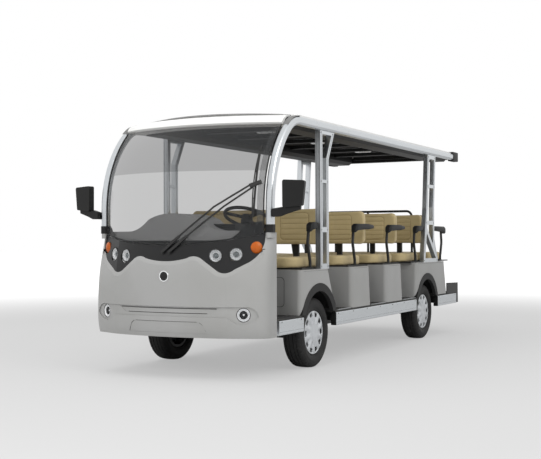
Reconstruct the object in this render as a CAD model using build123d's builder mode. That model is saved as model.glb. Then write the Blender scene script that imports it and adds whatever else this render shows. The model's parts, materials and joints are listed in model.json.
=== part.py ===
from build123d import *
from math import asin, atan2, cos, degrees, pi, radians, sin, sqrt
import os

# Open-sided electric shuttle bus with fourteen seats.
# Front towards -Y, the vehicle's left side towards +X, wheels standing on z = 0,
# x = 0 on the centre line, y = 0 half way along the vehicle.

os.makedirs("parts", exist_ok=True)

# Overall layout
FRONT_OVERHANG = 1125
WHEELBASE = 2730
REAR_OVERHANG = 1095
LENGTH = FRONT_OVERHANG + WHEELBASE + REAR_OVERHANG
MIDDLE = WHEELBASE / 2
HALF_WIDTH = 775
AXLE_F = FRONT_OVERHANG - LENGTH / 2
AXLE_R = AXLE_F + WHEELBASE
TAIL = LENGTH / 2
SEAT_GAP = 0.3

# Wheels and tyres
TRACK = 1300
TYRE_RADIUS = 286
TYRE_WIDTH = 175
RIM_RADIUS = 160
RIM_LIP = 176
RIM_HALF = 62
WHEEL_X = TRACK / 2
HUB_RADIUS = 48
STUB_RADIUS = 18
STUB_CLEARANCE = 0.3
COVER_HOLES = 10
COVER_RING = 146

# Steering
KINGPIN_X = 600
KINGPIN_RADIUS = 12
BOSS_RADIUS = 22
BOSS_HALF = 44
EAR = 15
COLUMN_TILT = 25
STEER_X = 350
STEER_Y = AXLE_F - 450
STEER_Z = 1220
STEER_RADIUS = 195
STEER_TUBE = 14
COLUMN_RADIUS = 30

# Floor and sills
SILL_BOTTOM = 320
SILL_TOP = 431
SILL_DEPTH = 50
DECK = 16
FLOOR = SILL_TOP + DECK
RAIL_X = 330
RAIL_WIDTH = 60
SILL_FRONT = -731
SILL_WHEEL_FRONT = 300
SILL_WHEEL_REAR = 336
REAR_SILL_END = WHEELBASE + 1014

# Wheel houses, concentric arcs about a line above the axle
ARCH_Z = 335
ARCH_INNER = 290
ARCH_OUTER = 355
LINER_RADIUS = 325
LINER_WALL = 8

# Cowl and glass
COWL_WALL = 15
COWL_REAR = -770
CREASE_X = 502
CREASE_RISE = 11
MASK_DEPTH = 12
MASK_WALL = 9
MASK_FLANGE = 28
EMBLEM = 3.8
MASK_TOP_MID = 1003
MASK_TOP_END = 1088
MASK_END_X = 728
MASK_SIDE_Z = 975
GLASS = 6
GLASS_TOP = 1931.6
GLASS_HALF = 717

# Hoops and roof
HOOP_X = 750
HOOP_WIDTH = 60
HOOP_DEPTH = 72
HOOP_Y = -825
HOOP_KNEE = 1285
HOOP_SWEEP = 810
HOOP_BEND = 285
RAIL_Z = 1979
COLLAR_BOTTOM = 1098
COLLAR_TOP = 1158
ROOF_REAR = WHEELBASE + 1030
ROOF_SHEET = 12
ROOF_EDGE = RAIL_Z + HOOP_DEPTH / 2 + SEAT_GAP + ROOF_SHEET
ROOF_CROWN = ROOF_EDGE + 12

# Seats
BOX_TOP = 803
BOX_WALL = 12
BOARD = 12
BOARD_HALF = 717
CUSHION_BOTTOM = BOX_TOP + BOARD + 2 * SEAT_GAP
CUSHION_TOP = 905
BACK_BOTTOM = 993
BACK_TOP = 1318
BACK_HALF = 660
BACK_DEPTH = 70
PILLAR_OUT = 765
PILLAR_WIDTH = 46


def at(y):
    """Lengthwise station counted from the front axle."""
    return AXLE_F + y


def bow(front, radius, corner, half):
    """Centres of a bowed front: the y of the corner arcs and the angle where they begin."""
    depth = sqrt((radius - corner) ** 2 - (half - corner) ** 2)
    return front + radius - depth, atan2(half - corner, depth)


def bow_points(front, radius, corner, half, grow):
    """Half outline of a bowed front, offset outwards by grow."""
    corner_y, turn = bow(front, radius, corner, half)
    mid = (turn + pi / 2) / 2
    reach = corner + grow
    lean = asin(CREASE_X / radius)
    crease_y = front + radius - sqrt(radius ** 2 - CREASE_X ** 2) - CREASE_RISE
    return [
        (0, front - grow),
        (CREASE_X + grow * sin(lean), crease_y - grow * cos(lean)),
        (half - corner + reach * sin(turn), corner_y - reach * cos(turn)),
        (half - corner + reach * sin(mid), corner_y - reach * cos(mid)),
        (half + grow, corner_y),
    ]


def bow_section(height, front, radius, corner, rear, half, grow, wall):
    """U-shaped wall section of a bowed front, on a level plane."""
    outer = bow_points(at(front), radius, corner, half, grow)
    inner = bow_points(at(front), radius, corner, half, grow - wall)
    end = at(rear)
    with BuildSketch(Plane.XY.offset(height)) as section:
        with BuildLine():
            for nose, crease, turn, mid, side in (outer, inner):
                ThreePointArc((-crease[0], crease[1]), nose, crease)
                for hand in (1, -1):
                    Line((hand * crease[0], crease[1]), (hand * turn[0], turn[1]))
                    ThreePointArc(
                        (hand * turn[0], turn[1]), (hand * mid[0], mid[1]), (hand * side[0], side[1])
                    )
                    Line((hand * side[0], side[1]), (hand * side[0], end))
            for hand in (1, -1):
                Line((hand * outer[-1][0], end), (hand * inner[-1][0], end))
        make_face()
    return section.sketch.face()


# Level sections of the cowl: height, front, bow radius, corner radius
COWL_SECTIONS = [
    (314, -1088, 1750, 110),
    (440, -1117, 1700, 110),
    (620, -1120, 1650, 115),
    (800, -1120, 1500, 120),
    (960, -1108, 1320, 115),
    (COLLAR_BOTTOM, -1096, 1220, 95),
]


def cowl_shell(grow, wall):
    faces = [
        bow_section(z, front, radius, corner, COWL_REAR, HALF_WIDTH, grow, wall)
        for z, front, radius, corner in COWL_SECTIONS
    ]
    with BuildPart() as shell:
        loft(faces)
    return shell.part


# Lower edge of the mask from its end to the middle, below its top: three arcs joined by lines
MASK_EDGE = [
    (MASK_END_X, -37), (706, 51), (640, 127),
    (545, 182), (480, 209), (420, 190),
    (310, 110), (250, 84), (185, 98),
]
MASK_DROP = 121


def mask_prism(shrink):
    """Front outline of the lamp mask, pulled through the whole front."""
    with BuildPart() as prism:
        with BuildSketch(Plane.XZ.offset(-at(-700))) as outline:
            with BuildLine():
                ThreePointArc((-MASK_END_X, MASK_TOP_END), (0, MASK_TOP_MID), (MASK_END_X, MASK_TOP_END))
                for hand in (1, -1):
                    edge = [(hand * x, MASK_TOP_MID - drop) for x, drop in MASK_EDGE]
                    Line((hand * MASK_END_X, MASK_TOP_END), edge[0])
                    for i in (0, 3, 6):
                        ThreePointArc(edge[i], edge[i + 1], edge[i + 2])
                    Line(edge[2], edge[3])
                    Line(edge[5], edge[6])
                x, drop = MASK_EDGE[8]
                ThreePointArc((-x, MASK_TOP_MID - drop), (0, MASK_TOP_MID - MASK_DROP), (x, MASK_TOP_MID - drop))
            make_face()
            if shrink:
                offset(amount=-shrink, kind=Kind.INTERSECTION)
        extrude(amount=500)
    return prism.part


def mask_opening(grow):
    """Opening in the cowl for the mask: wider than the mask's outline along its lower edge."""
    with BuildPart() as opening:
        add(mask_prism(-grow))
        with BuildSketch(Plane.XY.offset(MASK_SIDE_Z)):
            with Locations((0, at(-1000))):
                Rectangle(2000, 1000)
        extrude(amount=400, mode=Mode.SUBTRACT)
        add(mask_prism(MASK_FLANGE - grow))
    return opening.part


def front_recess(outline, depth):
    """Recess of even depth in the cowl's face, from half of its outline as x and height."""
    with BuildPart() as recess:
        add(cowl_shell(2, 2 + depth))
        with BuildSketch(Plane.XZ.offset(-at(-700))):
            with BuildLine():
                Polyline(outline + [(-x, z) for x, z in reversed(outline[1:-1])], close=True)
            make_face()
        extrude(amount=500, mode=Mode.INTERSECT)
    return recess.part


# Lamps: x, y from the front axle, height, opening radius, turn to the side in degrees
HEADLAMPS = [
    (402, -1037, MASK_TOP_MID - 77, 54, 17),
    (546, -981, MASK_TOP_MID - 67, 54, 27),
]
TURN_LAMP = (672, -895, MASK_TOP_MID - 17, 46, 32)
FOG_LAMP = (612, -990, 489, 53, 24)
BUMPER_DEPTH = 9
BUMPER_BAND = [
    (0, 472), (380, 469), (503, 469), (534, 446), (563, 428), (600, 418), (640, 424), (676, 438),
    (704, 456), (722, 478), (712, 508), (690, 532), (655, 547), (450, 546), (0, 546),
]
SLOT_DEPTH = 12.5
SLOT_OUTLINE = [(0, 494), (366, 494), (384, 499), (440, 539), (0, 539)]
PLATE_DEPTH = 4
PLATE_OUTLINE = [(0, 345), (346, 345), (340, 368), (312, 420), (291, 432), (272, 436), (0, 436)]


def lamp_plane(lamp, hand):
    x, y, z, radius, turn = lamp
    out = (hand * sin(radians(turn)), -cos(radians(turn)), 0)
    return Plane(origin=(hand * x, at(y), z), x_dir=(0, 0, 1), z_dir=out)


def lamp_bores(lamps, extra):
    with BuildPart() as bores:
        for lamp in lamps:
            for hand in (1, -1):
                with BuildSketch(lamp_plane(lamp, hand)):
                    Circle(lamp[3] + extra)
                extrude(amount=120, both=True)
    return bores.part


FRONT_LAMPS = HEADLAMPS + [TURN_LAMP]

with BuildPart() as front_cowl:
    add(cowl_shell(0, COWL_WALL))
    with BuildSketch(Plane.XZ.offset(-at(-700))):
        with BuildLine():
            ThreePointArc((-MASK_END_X, MASK_TOP_END), (0, MASK_TOP_MID), (MASK_END_X, MASK_TOP_END))
            Polyline(
                (MASK_END_X, MASK_TOP_END), (MASK_END_X, 1200), (-MASK_END_X, 1200), (-MASK_END_X, MASK_TOP_END)
            )
        make_face()
    extrude(amount=500, mode=Mode.SUBTRACT)
    # feet that carry the hoop collars
    for hand in (1, -1):
        with BuildSketch(Plane.XY.offset(COLLAR_BOTTOM - 40)):
            with Locations((hand * HOOP_X, at(HOOP_Y))):
                RectangleRounded(HOOP_WIDTH - 12, HOOP_DEPTH + 8, 22)
        extrude(amount=40)
    add(mask_opening(MASK_FLANGE), mode=Mode.SUBTRACT)
    add(front_recess(BUMPER_BAND, BUMPER_DEPTH), mode=Mode.SUBTRACT)
    add(front_recess(SLOT_OUTLINE, SLOT_DEPTH), mode=Mode.SUBTRACT)
    add(front_recess(PLATE_OUTLINE, PLATE_DEPTH), mode=Mode.SUBTRACT)
    add(lamp_bores([FOG_LAMP], SEAT_GAP), mode=Mode.SUBTRACT)
front_cowl.part.label = "front_cowl"

with BuildPart() as lamp_mask:
    add(cowl_shell(-MASK_DEPTH, MASK_WALL))
    add(mask_opening(MASK_FLANGE - SEAT_GAP), mode=Mode.INTERSECT)
    add(lamp_bores(FRONT_LAMPS, SEAT_GAP), mode=Mode.SUBTRACT)
lamp_mask.part.label = "lamp_mask"


def lamp_housings(lamps, depth, proud):
    """Bezel ring with a bowl behind it, one for each lamp and side."""
    with BuildPart() as housings:
        for lamp in lamps:
            for hand in (1, -1):
                plane = lamp_plane(lamp, hand)
                radius = lamp[3]
                with BuildSketch(Plane(origin=plane.origin, x_dir=plane.x_dir, z_dir=plane.x_dir.cross(plane.z_dir))):
                    with BuildLine():
                        Polyline(
                            (0, -depth), (0, -depth + 6), (radius * 0.45, -depth + 10), (radius - 10, -8),
                            (radius - 8, proud), (radius, proud), (radius, -12), (radius * 0.6, -depth), (0, -depth),
                        )
                    make_face()
                revolve(axis=Axis(plane.origin, plane.z_dir))
    return housings.part


def lamp_lenses(lamps, proud, inset, bulge):
    """Domed lens inside each bezel."""
    with BuildPart() as lenses:
        for lamp in lamps:
            for hand in (1, -1):
                plane = lamp_plane(lamp, hand)
                radius = lamp[3] - inset
                with BuildSketch(Plane(origin=plane.origin, x_dir=plane.x_dir, z_dir=plane.x_dir.cross(plane.z_dir))):
                    with BuildLine():
                        Line((0, proud - 4), (0, proud + bulge))
                        ThreePointArc((0, proud + bulge), (radius * 0.6, proud + bulge * 0.66), (radius, proud))
                        Polyline((radius, proud), (radius, proud - 4), (0, proud - 4))
                    make_face()
                revolve(axis=Axis(plane.origin, plane.z_dir))
    return lenses.part


with BuildPart() as headlamps:
    add(lamp_housings(HEADLAMPS, 45, 6))
headlamps.part.label = "headlamps"

with BuildPart() as headlamp_lenses:
    add(lamp_lenses(HEADLAMPS, 1, 9.5, 4))
headlamp_lenses.part.label = "headlamp_lenses"

with BuildPart() as turn_lamps:
    add(lamp_lenses([TURN_LAMP], 2, 0, 18))
turn_lamps.part.label = "turn_lamps"

with BuildPart() as fog_lamps:
    add(lamp_housings([FOG_LAMP], 40, 6))
fog_lamps.part.label = "fog_lamps"

with BuildPart() as emblem_disc:
    with BuildSketch(Plane.XZ.offset(TAIL - EMBLEM)):
        with Locations((0, 772)):
            Circle(39)
    extrude(amount=EMBLEM)
emblem_disc.part.label = "emblem_disc"

# Windshield: height, set back of its side edge from the front axle, depth of the bow
GLASS_SECTIONS = [
    (985, -861, 243),
    (1285, -861, 232),
    (1500, -833, 220),
    (1700, -753, 205),
    (1850, -646, 190),
    (1940, -552, 181),
]


def glass_face(height, side, sag):
    """Level strip of bowed glass."""
    edge = at(side) + 6
    with BuildSketch(Plane.XY.offset(height)) as strip:
        with BuildLine():
            ThreePointArc((-GLASS_HALF, edge), (0, edge - sag), (GLASS_HALF, edge))
            ThreePointArc((-GLASS_HALF, edge + GLASS), (0, edge - sag + GLASS), (GLASS_HALF, edge + GLASS))
            Line((-GLASS_HALF, edge), (-GLASS_HALF, edge + GLASS))
            Line((GLASS_HALF, edge), (GLASS_HALF, edge + GLASS))
        make_face()
    return strip.sketch.face()


with BuildPart() as windshield:
    loft([glass_face(*row) for row in GLASS_SECTIONS])
    with BuildSketch(Plane.XZ.offset(-at(-400))):
        with BuildLine():
            ThreePointArc(
                (-MASK_END_X, MASK_TOP_END + SEAT_GAP), (0, MASK_TOP_MID + SEAT_GAP),
                (MASK_END_X, MASK_TOP_END + SEAT_GAP),
            )
            Polyline(
                (MASK_END_X, MASK_TOP_END + SEAT_GAP), (MASK_END_X, GLASS_TOP),
                (-MASK_END_X, GLASS_TOP), (-MASK_END_X, MASK_TOP_END + SEAT_GAP),
            )
        make_face()
    extrude(amount=900, mode=Mode.INTERSECT)
windshield.part.label = "windshield"


def hoop_wire():
    lean = degrees(asin((RAIL_Z - HOOP_KNEE - HOOP_BEND) / (HOOP_SWEEP - HOOP_BEND)))
    with BuildLine(Plane.YZ) as wire:
        post = Line((at(HOOP_Y), COLLAR_TOP), (at(HOOP_Y), HOOP_KNEE))
        sweep_arc = JernArc(post @ 1, post % 1, HOOP_SWEEP, -lean)
        bend_arc = JernArc(sweep_arc @ 1, sweep_arc % 1, HOOP_BEND, lean - 90)
        Line(bend_arc @ 1, (at(ROOF_REAR), RAIL_Z))
    return wire.line


with BuildPart() as roof_hoops:
    path = hoop_wire()
    for hand in (1, -1):
        with BuildSketch(Plane(origin=(hand * HOOP_X, at(HOOP_Y), COLLAR_TOP), x_dir=(1, 0, 0), z_dir=(0, 0, 1))):
            RectangleRounded(HOOP_WIDTH, HOOP_DEPTH, 24)
        sweep(path=path.translate((hand * HOOP_X, 0, 0)))
roof_hoops.part.label = "roof_hoops"

with BuildPart() as pillar_collars:
    for hand in (1, -1):
        with BuildSketch(Plane.XY.offset(COLLAR_BOTTOM)):
            with Locations((hand * HOOP_X, at(HOOP_Y))):
                RectangleRounded(HOOP_WIDTH + 6, HOOP_DEPTH + 12, 28)
        extrude(amount=COLLAR_TOP - COLLAR_BOTTOM)
pillar_collars.part.label = "pillar_collars"

# Roof: brow, ribbed panel, black rear cap and the curtain housings under it
BROW_RADIUS = 1567
BROW_FRONT = -741
BROW_TURN = 30
BROW_FLANGE = 175
BROW_HALF = HOOP_X - HOOP_WIDTH / 2 - SEAT_GAP
ROOF_HALF = HOOP_X + 5
ROOF_FRONT = -560
ROOF_NOSE_RADIUS = 1354
SLAB_HALF = 620
SLAB_THICK = 8
SLAB_FRONT = -540
SLAB_NOSE_RADIUS = 1074
SLABS = 8
SLAB_SPLIT = 14
BEAM_DEPTH = 34
BEAM_WIDTH = 56
CURTAIN_IN = 460
CURTAIN_FRONT = -355
CURTAIN_END = ROOF_REAR - 110

with BuildPart() as roof_brow:
    start = Vector(-sin(radians(BROW_TURN)), -cos(radians(BROW_TURN)), 0)
    pivot = Vector(0, at(BROW_FRONT + BROW_RADIUS), 0)
    with BuildSketch(Plane(origin=pivot, x_dir=start, z_dir=start.cross(Vector(0, 0, 1)))):
        with BuildLine():
            ThreePointArc((BROW_RADIUS, 1950), (BROW_RADIUS - 38, 1990), (BROW_RADIUS - 140, 2014))
            Line((BROW_RADIUS - 140, 2014), (BROW_RADIUS - 140, 2002))
            ThreePointArc((BROW_RADIUS - 140, 2002), (BROW_RADIUS - 54, 1978), (BROW_RADIUS - 34, 1940))
            Polyline(
                (BROW_RADIUS - 34, 1940), (BROW_RADIUS - BROW_FLANGE, 1940), (BROW_RADIUS - BROW_FLANGE, 1932),
                (BROW_RADIUS - 40, 1932),
            )
            ThreePointArc((BROW_RADIUS - 40, 1932), (BROW_RADIUS - 14, 1936), (BROW_RADIUS, 1950))
        make_face()
    revolve(axis=Axis(pivot, (0, 0, 1)), revolution_arc=2 * BROW_TURN)
    with BuildSketch(Plane.XY.offset(1900)):
        with Locations((0, at(BROW_FRONT))):
            Rectangle(2 * BROW_HALF, 1200)
    extrude(amount=200, mode=Mode.INTERSECT)
roof_brow.part.label = "roof_brow"

def roof_top(x):
    """Height of the roof panel's top."""
    rise = ROOF_CROWN - ROOF_EDGE
    radius = (ROOF_HALF ** 2 + rise ** 2) / (2 * rise)
    return ROOF_CROWN - radius + sqrt(radius ** 2 - x ** 2)


def roof_layer(half, bottom, top, front, nose):
    """Crowned layer of the roof with a bowed front edge, its faces bottom and top over the panel's top."""
    with BuildPart() as layer:
        with BuildSketch(Plane.XZ.offset(-at(ROOF_REAR))):
            with BuildLine():
                for level in (bottom, top):
                    edge = roof_top(half) + level
                    ThreePointArc((-half, edge), (0, ROOF_CROWN + level), (half, edge))
                for hand in (1, -1):
                    Line((hand * half, roof_top(half) + bottom), (hand * half, roof_top(half) + top))
            make_face()
        extrude(amount=ROOF_REAR - front)
        with BuildSketch(Plane.XY.offset(RAIL_Z)):
            with Locations((0, at(front) + nose)):
                Circle(nose)
            with Locations((0, at(front) + nose + 3000)):
                Rectangle(2 * nose, 6000)
        extrude(amount=200, mode=Mode.INTERSECT)
    return layer.part


with BuildPart() as roof_panel:
    add(roof_layer(ROOF_HALF, -ROOF_SHEET, 0, ROOF_FRONT, ROOF_NOSE_RADIUS))
roof_panel.part.label = "roof_panel"

# Raised slabs on the roof, split crosswise
with BuildPart() as roof_slabs:
    add(roof_layer(SLAB_HALF, SEAT_GAP, SEAT_GAP + SLAB_THICK, SLAB_FRONT, SLAB_NOSE_RADIUS))
    for i in range(1, SLABS):
        with BuildSketch(Plane.XY.offset(RAIL_Z)):
            with Locations((0, at(SLAB_FRONT + 130 + (ROOF_REAR - SLAB_FRONT - 130) * i / SLABS))):
                Rectangle(2 * ROOF_HALF, SLAB_SPLIT)
        extrude(amount=200, mode=Mode.SUBTRACT)
roof_slabs.part.label = "roof_slabs"


def roof_under(x):
    """Height of the roof panel's underside."""
    return roof_top(x) - ROOF_SHEET


# Cross beams under the roof, between the curtain housings
with BuildPart() as roof_beams:
    for i in range(SLABS):
        station = -300 + (ROOF_REAR + 260) * i / (SLABS - 1)
        with BuildSketch(Plane.XY.offset(roof_under(CURTAIN_IN) - SEAT_GAP - BEAM_DEPTH)):
            with Locations((0, at(station))):
                Rectangle(2 * (CURTAIN_IN - SEAT_GAP), BEAM_WIDTH)
        extrude(amount=BEAM_DEPTH)
roof_beams.part.label = "roof_beams"

with BuildPart() as roof_rear_cap:
    with BuildSketch(Plane.XY.offset(1960)):
        with Locations((0, at(ROOF_REAR + SEAT_GAP + 32))):
            Rectangle(2 * HOOP_X + HOOP_WIDTH, 64)
    extrude(amount=75)
    fillet(roof_rear_cap.edges().filter_by(Axis.Z), 30)
roof_rear_cap.part.label = "roof_rear_cap"

with BuildPart() as curtain_housings:
    for hand in (1, -1):
        with BuildSketch(Plane.XZ.offset(-at(CURTAIN_END))):
            with BuildLine():
                inner_top = roof_under(CURTAIN_IN) - SEAT_GAP
                outer_top = roof_under(700) - SEAT_GAP
                Polyline(
                    (hand * CURTAIN_IN, inner_top), (hand * CURTAIN_IN, 1960), (hand * 500, 1928), (hand * 670, 1928),
                    (hand * 700, 1960), (hand * 700, outer_top), (hand * CURTAIN_IN, inner_top),
                )
            make_face()
        extrude(amount=CURTAIN_END - CURTAIN_FRONT)
curtain_housings.part.label = "curtain_housings"

# Ladder pillars: stations from the front axle
B_FRONT = 44
B_REAR = 211
TUBE = 44
PILLAR_TOP = RAIL_Z - HOOP_DEPTH / 2
PILLAR_X = PILLAR_OUT - PILLAR_WIDTH / 2


def pillar(origin, outline, windows):
    """Flat ladder made of box tube, cut through by its windows, on both sides; stations from origin."""
    with BuildPart() as ladder:
        for hand in (1, -1):
            with BuildSketch(Plane.YZ.offset(hand * PILLAR_X - PILLAR_WIDTH / 2)):
                with BuildLine():
                    Polyline([(at(origin + y), z) for y, z in outline], close=True)
                make_face()
                for window in windows:
                    with BuildLine():
                        Polyline([(at(origin + y), z) for y, z in window], close=True)
                    make_face(mode=Mode.SUBTRACT)
            extrude(amount=PILLAR_WIDTH)
    return ladder.part


with BuildPart() as b_pillars:
    add(pillar(
        0,
        [(B_FRONT, BOX_TOP), (B_REAR, BOX_TOP), (B_REAR, 1710), (332, PILLAR_TOP), (B_FRONT, PILLAR_TOP)],
        [
            [(B_FRONT + TUBE, 845), (B_REAR - TUBE, 845), (B_REAR - TUBE, 1104), (B_FRONT + TUBE, 1104)],
            [(B_FRONT + TUBE, 1147), (B_REAR - TUBE, 1147), (B_REAR - TUBE, 1512), (B_FRONT + TUBE, 1512)],
            [(B_FRONT + TUBE, 1537), (B_REAR - TUBE, 1537), (B_REAR - TUBE, 1722), (270, 1915), (B_FRONT + TUBE, 1915)],
        ],
    ))
b_pillars.part.label = "b_pillars"

# Leaning rear pillar: front tube and rear tube edges at given heights
with BuildPart() as rear_pillars:
    add(pillar(
        WHEELBASE,
        [
            (-85, BOX_TOP), (380, BOX_TOP), (380, 838), (266, 1050), (266, 1390), (322, PILLAR_TOP),
            (60, PILLAR_TOP), (5, 1370), (-85, 880),
        ],
        [
            [(-30, 842), (320, 842), (18, 1110)],
            [(35, 1199), (35, 1160), (220, 990), (220, 1199)],
            [(40, 1241), (220, 1241), (220, 1390), (245, 1591), (76, 1591), (55, 1370)],
            [(80, 1626), (249, 1626), (272, 1900), (108, 1900)],
        ],
    ))
rear_pillars.part.label = "rear_pillars"

# Seat boxes: front at the bottom and top, rear at the bottom and top, counted from the front axle
SEAT_BOXES = [
    ("seat_box_1", -343, -339, 350, 192),
    ("seat_box_2", MIDDLE - 674, MIDDLE - 674, MIDDLE - 230, MIDDLE - 265),
    ("seat_box_3", MIDDLE + 170, MIDDLE + 171, MIDDLE + 617, MIDDLE + 575),
    ("seat_box_4", WHEELBASE - 336, WHEELBASE - 306, WHEELBASE + 672, WHEELBASE + 588),
]


def box_solid(front_low, front_high, rear_low, rear_high, inset):
    """Seat box body between its two level outlines, shrunk by inset all round."""
    faces = []
    floor = FLOOR - 1 if inset else FLOOR
    for z, front, rear in ((floor, front_low, rear_low), (BOX_TOP - inset, front_high, rear_high)):
        with BuildSketch(Plane.XY.offset(z)) as level:
            with Locations((0, at((front + rear) / 2))):
                RectangleRounded(2 * (HALF_WIDTH - inset), rear - front - 2 * inset, 42 - inset)
        faces.append(level.sketch.face())
    with BuildPart() as body:
        loft(faces, ruled=True)
    return body.part


def arch_cut(station, radius):
    """Round cut through both sides about the wheel arch line."""
    with BuildPart() as cut:
        for hand in (1, -1):
            with BuildSketch(Plane.YZ.offset(hand * 780)):
                with Locations((at(station), ARCH_Z)):
                    Circle(radius)
            extrude(amount=-hand * 60)
    return cut.part


seat_boxes = []
for name, front_low, front_high, rear_low, rear_high in SEAT_BOXES:
    with BuildPart() as seat_box:
        add(box_solid(front_low, front_high, rear_low, rear_high, 0))
        add(box_solid(front_low, front_high, rear_low, rear_high, BOX_WALL), mode=Mode.SUBTRACT)
        if name == "seat_box_1":
            add(arch_cut(0, ARCH_OUTER + SEAT_GAP), mode=Mode.SUBTRACT)
        if name == "seat_box_4":
            add(arch_cut(WHEELBASE, ARCH_OUTER + SEAT_GAP), mode=Mode.SUBTRACT)
    seat_box.part.label = name
    seat_boxes.append(seat_box)

with BuildPart() as wheel_houses:
    for station, inner_x in ((0, 402), (WHEELBASE, 532)):
        for hand in (1, -1):
            centre = (at(station), ARCH_Z)
            with BuildSketch(Plane.YZ.offset(hand * 779)):
                with Locations(centre):
                    Circle(ARCH_OUTER)
                    Circle(ARCH_INNER, mode=Mode.SUBTRACT)
            extrude(amount=-hand * 34)
            with BuildSketch(Plane.YZ.offset(hand * inner_x)):
                with Locations(centre):
                    Circle(LINER_RADIUS + LINER_WALL)
            extrude(amount=hand * (760 - inner_x))
            with BuildSketch(Plane.YZ.offset(hand * (inner_x + LINER_WALL))):
                with Locations(centre):
                    Circle(LINER_RADIUS)
            extrude(amount=hand * (745 - inner_x - LINER_WALL), mode=Mode.SUBTRACT)
            with BuildSketch(Plane.YZ.offset(hand * 700)):
                with Locations(centre):
                    Circle(ARCH_INNER)
            extrude(amount=hand * 100, mode=Mode.SUBTRACT)
    with BuildSketch(Plane.XY.offset(-100)):
        with Locations((0, at(WHEELBASE / 2))):
            Rectangle(2000, WHEELBASE + 1000)
    extrude(amount=100 + FLOOR, mode=Mode.SUBTRACT)
wheel_houses.part.label = "wheel_houses"

# Floor deck with openings over the wheels
DECK_END = WHEELBASE + 672.7

with BuildPart() as floor_deck:
    with BuildSketch(Plane.XY.offset(SILL_TOP)):
        with BuildLine():
            right = [(725, -930), (759, -866), (759, COWL_REAR), (770, COWL_REAR), (770, DECK_END)]
            left = [(-x, y) for x, y in reversed(right)]
            Polyline([(x, at(y)) for x, y in right + left], close=True)
        make_face()
        for station, inner_x in ((0, 402), (WHEELBASE, 532)):
            for hand in (1, -1):
                with Locations((hand * (inner_x + 200), at(station))):
                    Rectangle(400, 2 * (LINER_RADIUS - 3), mode=Mode.SUBTRACT)
    extrude(amount=DECK)
floor_deck.part.label = "floor_deck"

# Sills: start and end along the vehicle, counted from the front axle
SILLS = [
    (SILL_FRONT, -SILL_WHEEL_FRONT),
    (SILL_WHEEL_REAR, WHEELBASE - 348),
    (WHEELBASE + 348, REAR_SILL_END),
]

with BuildPart() as sill_panels:
    for start, end in SILLS:
        for hand in (1, -1):
            with BuildSketch(Plane.XZ.offset(-at(end))):
                with Locations((hand * (HALF_WIDTH - SILL_DEPTH / 2), (SILL_BOTTOM + SILL_TOP) / 2)):
                    RectangleRounded(SILL_DEPTH, SILL_TOP - SILL_BOTTOM - 2 * SEAT_GAP, 6)
            extrude(amount=end - start)
sill_panels.part.label = "sill_panels"

# Chassis: two rails, and the cross members between and beside them that carry the deck and sills
RAIL_BOTTOM = 340
MEMBER_BOTTOM = 351
MEMBER_DEPTH = 50
CROSS_MEMBERS = [
    -930, -450, 480, MIDDLE - 365, MIDDLE + 135, MIDDLE + 635, WHEELBASE - 400, WHEELBASE + 420, WHEELBASE + 970,
]

with BuildPart() as chassis_frame:
    for hand in (1, -1):
        with BuildSketch(Plane.XZ.offset(-at(ROOF_REAR))):
            with Locations((hand * RAIL_X, (RAIL_BOTTOM + SILL_TOP) / 2)):
                Rectangle(RAIL_WIDTH, SILL_TOP - RAIL_BOTTOM)
        extrude(amount=ROOF_REAR + 980)
chassis_frame.part.label = "chassis_frame"

with BuildPart() as cross_members:
    for station in CROSS_MEMBERS:
        inner = RAIL_X - RAIL_WIDTH / 2 - SEAT_GAP
        outer = RAIL_X + RAIL_WIDTH / 2 + SEAT_GAP
        reach = 560 if station == -930 else HALF_WIDTH - SILL_DEPTH - SEAT_GAP
        with BuildSketch(Plane.XY.offset(MEMBER_BOTTOM)):
            with Locations((0, at(station))):
                Rectangle(2 * inner, MEMBER_DEPTH)
            for hand in (1, -1):
                with Locations((hand * (outer + reach) / 2, at(station))):
                    Rectangle(reach - outer, MEMBER_DEPTH)
        extrude(amount=SILL_TOP - MEMBER_BOTTOM)
cross_members.part.label = "cross_members"

with BuildPart() as battery_pack:
    with BuildSketch(Plane.XY.offset(250)):
        with Locations((0, at(MIDDLE - 115))):
            RectangleRounded(2 * (RAIL_X - RAIL_WIDTH / 2) - 20, 1200, 20)
    extrude(amount=MEMBER_BOTTOM - 250)
battery_pack.part.label = "battery_pack"

STEP_FRONT = WHEELBASE + 673
STEP_PLATE = 10
STEP_PLATE_X = 764
TAIL_LAMP = 12
STEP_END = LENGTH - FRONT_OVERHANG - TAIL_LAMP - SEAT_GAP

with BuildPart() as rear_step:
    with BuildSketch(Plane.XY.offset(SILL_TOP)):
        with Locations((0, at((STEP_FRONT + STEP_END) / 2))):
            Rectangle(2 * STEP_PLATE_X, STEP_END - STEP_FRONT)
    extrude(amount=DECK)
    for hand in (1, -1):
        with BuildSketch(Plane.YZ.offset(hand * STEP_PLATE_X)):
            with BuildLine():
                Polyline(
                    (at(STEP_FRONT + 5), FLOOR - DECK), (at(STEP_FRONT + 5), 560), (at(STEP_END), 550), (at(STEP_END), 325),
                    (at(REAR_SILL_END + 1), 325), (at(REAR_SILL_END + 1), FLOOR - DECK),
                    (at(STEP_FRONT + 5), FLOOR - DECK),
                )
            make_face()
        extrude(amount=hand * STEP_PLATE)
    with BuildSketch(Plane.XZ.offset(-at(STEP_END))):
        with Locations((0, 378)):
            Rectangle(2 * (STEP_PLATE_X + STEP_PLATE), 106)
    extrude(amount=12)
rear_step.part.label = "rear_step"

with BuildPart() as tail_lamps:
    for hand in (1, -1):
        with BuildSketch(Plane.XZ.offset(-TAIL)):
            with Locations((hand * 620, 385)):
                RectangleRounded(150, 60, 12)
        extrude(amount=TAIL_LAMP)
tail_lamps.part.label = "tail_lamps"

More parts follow.
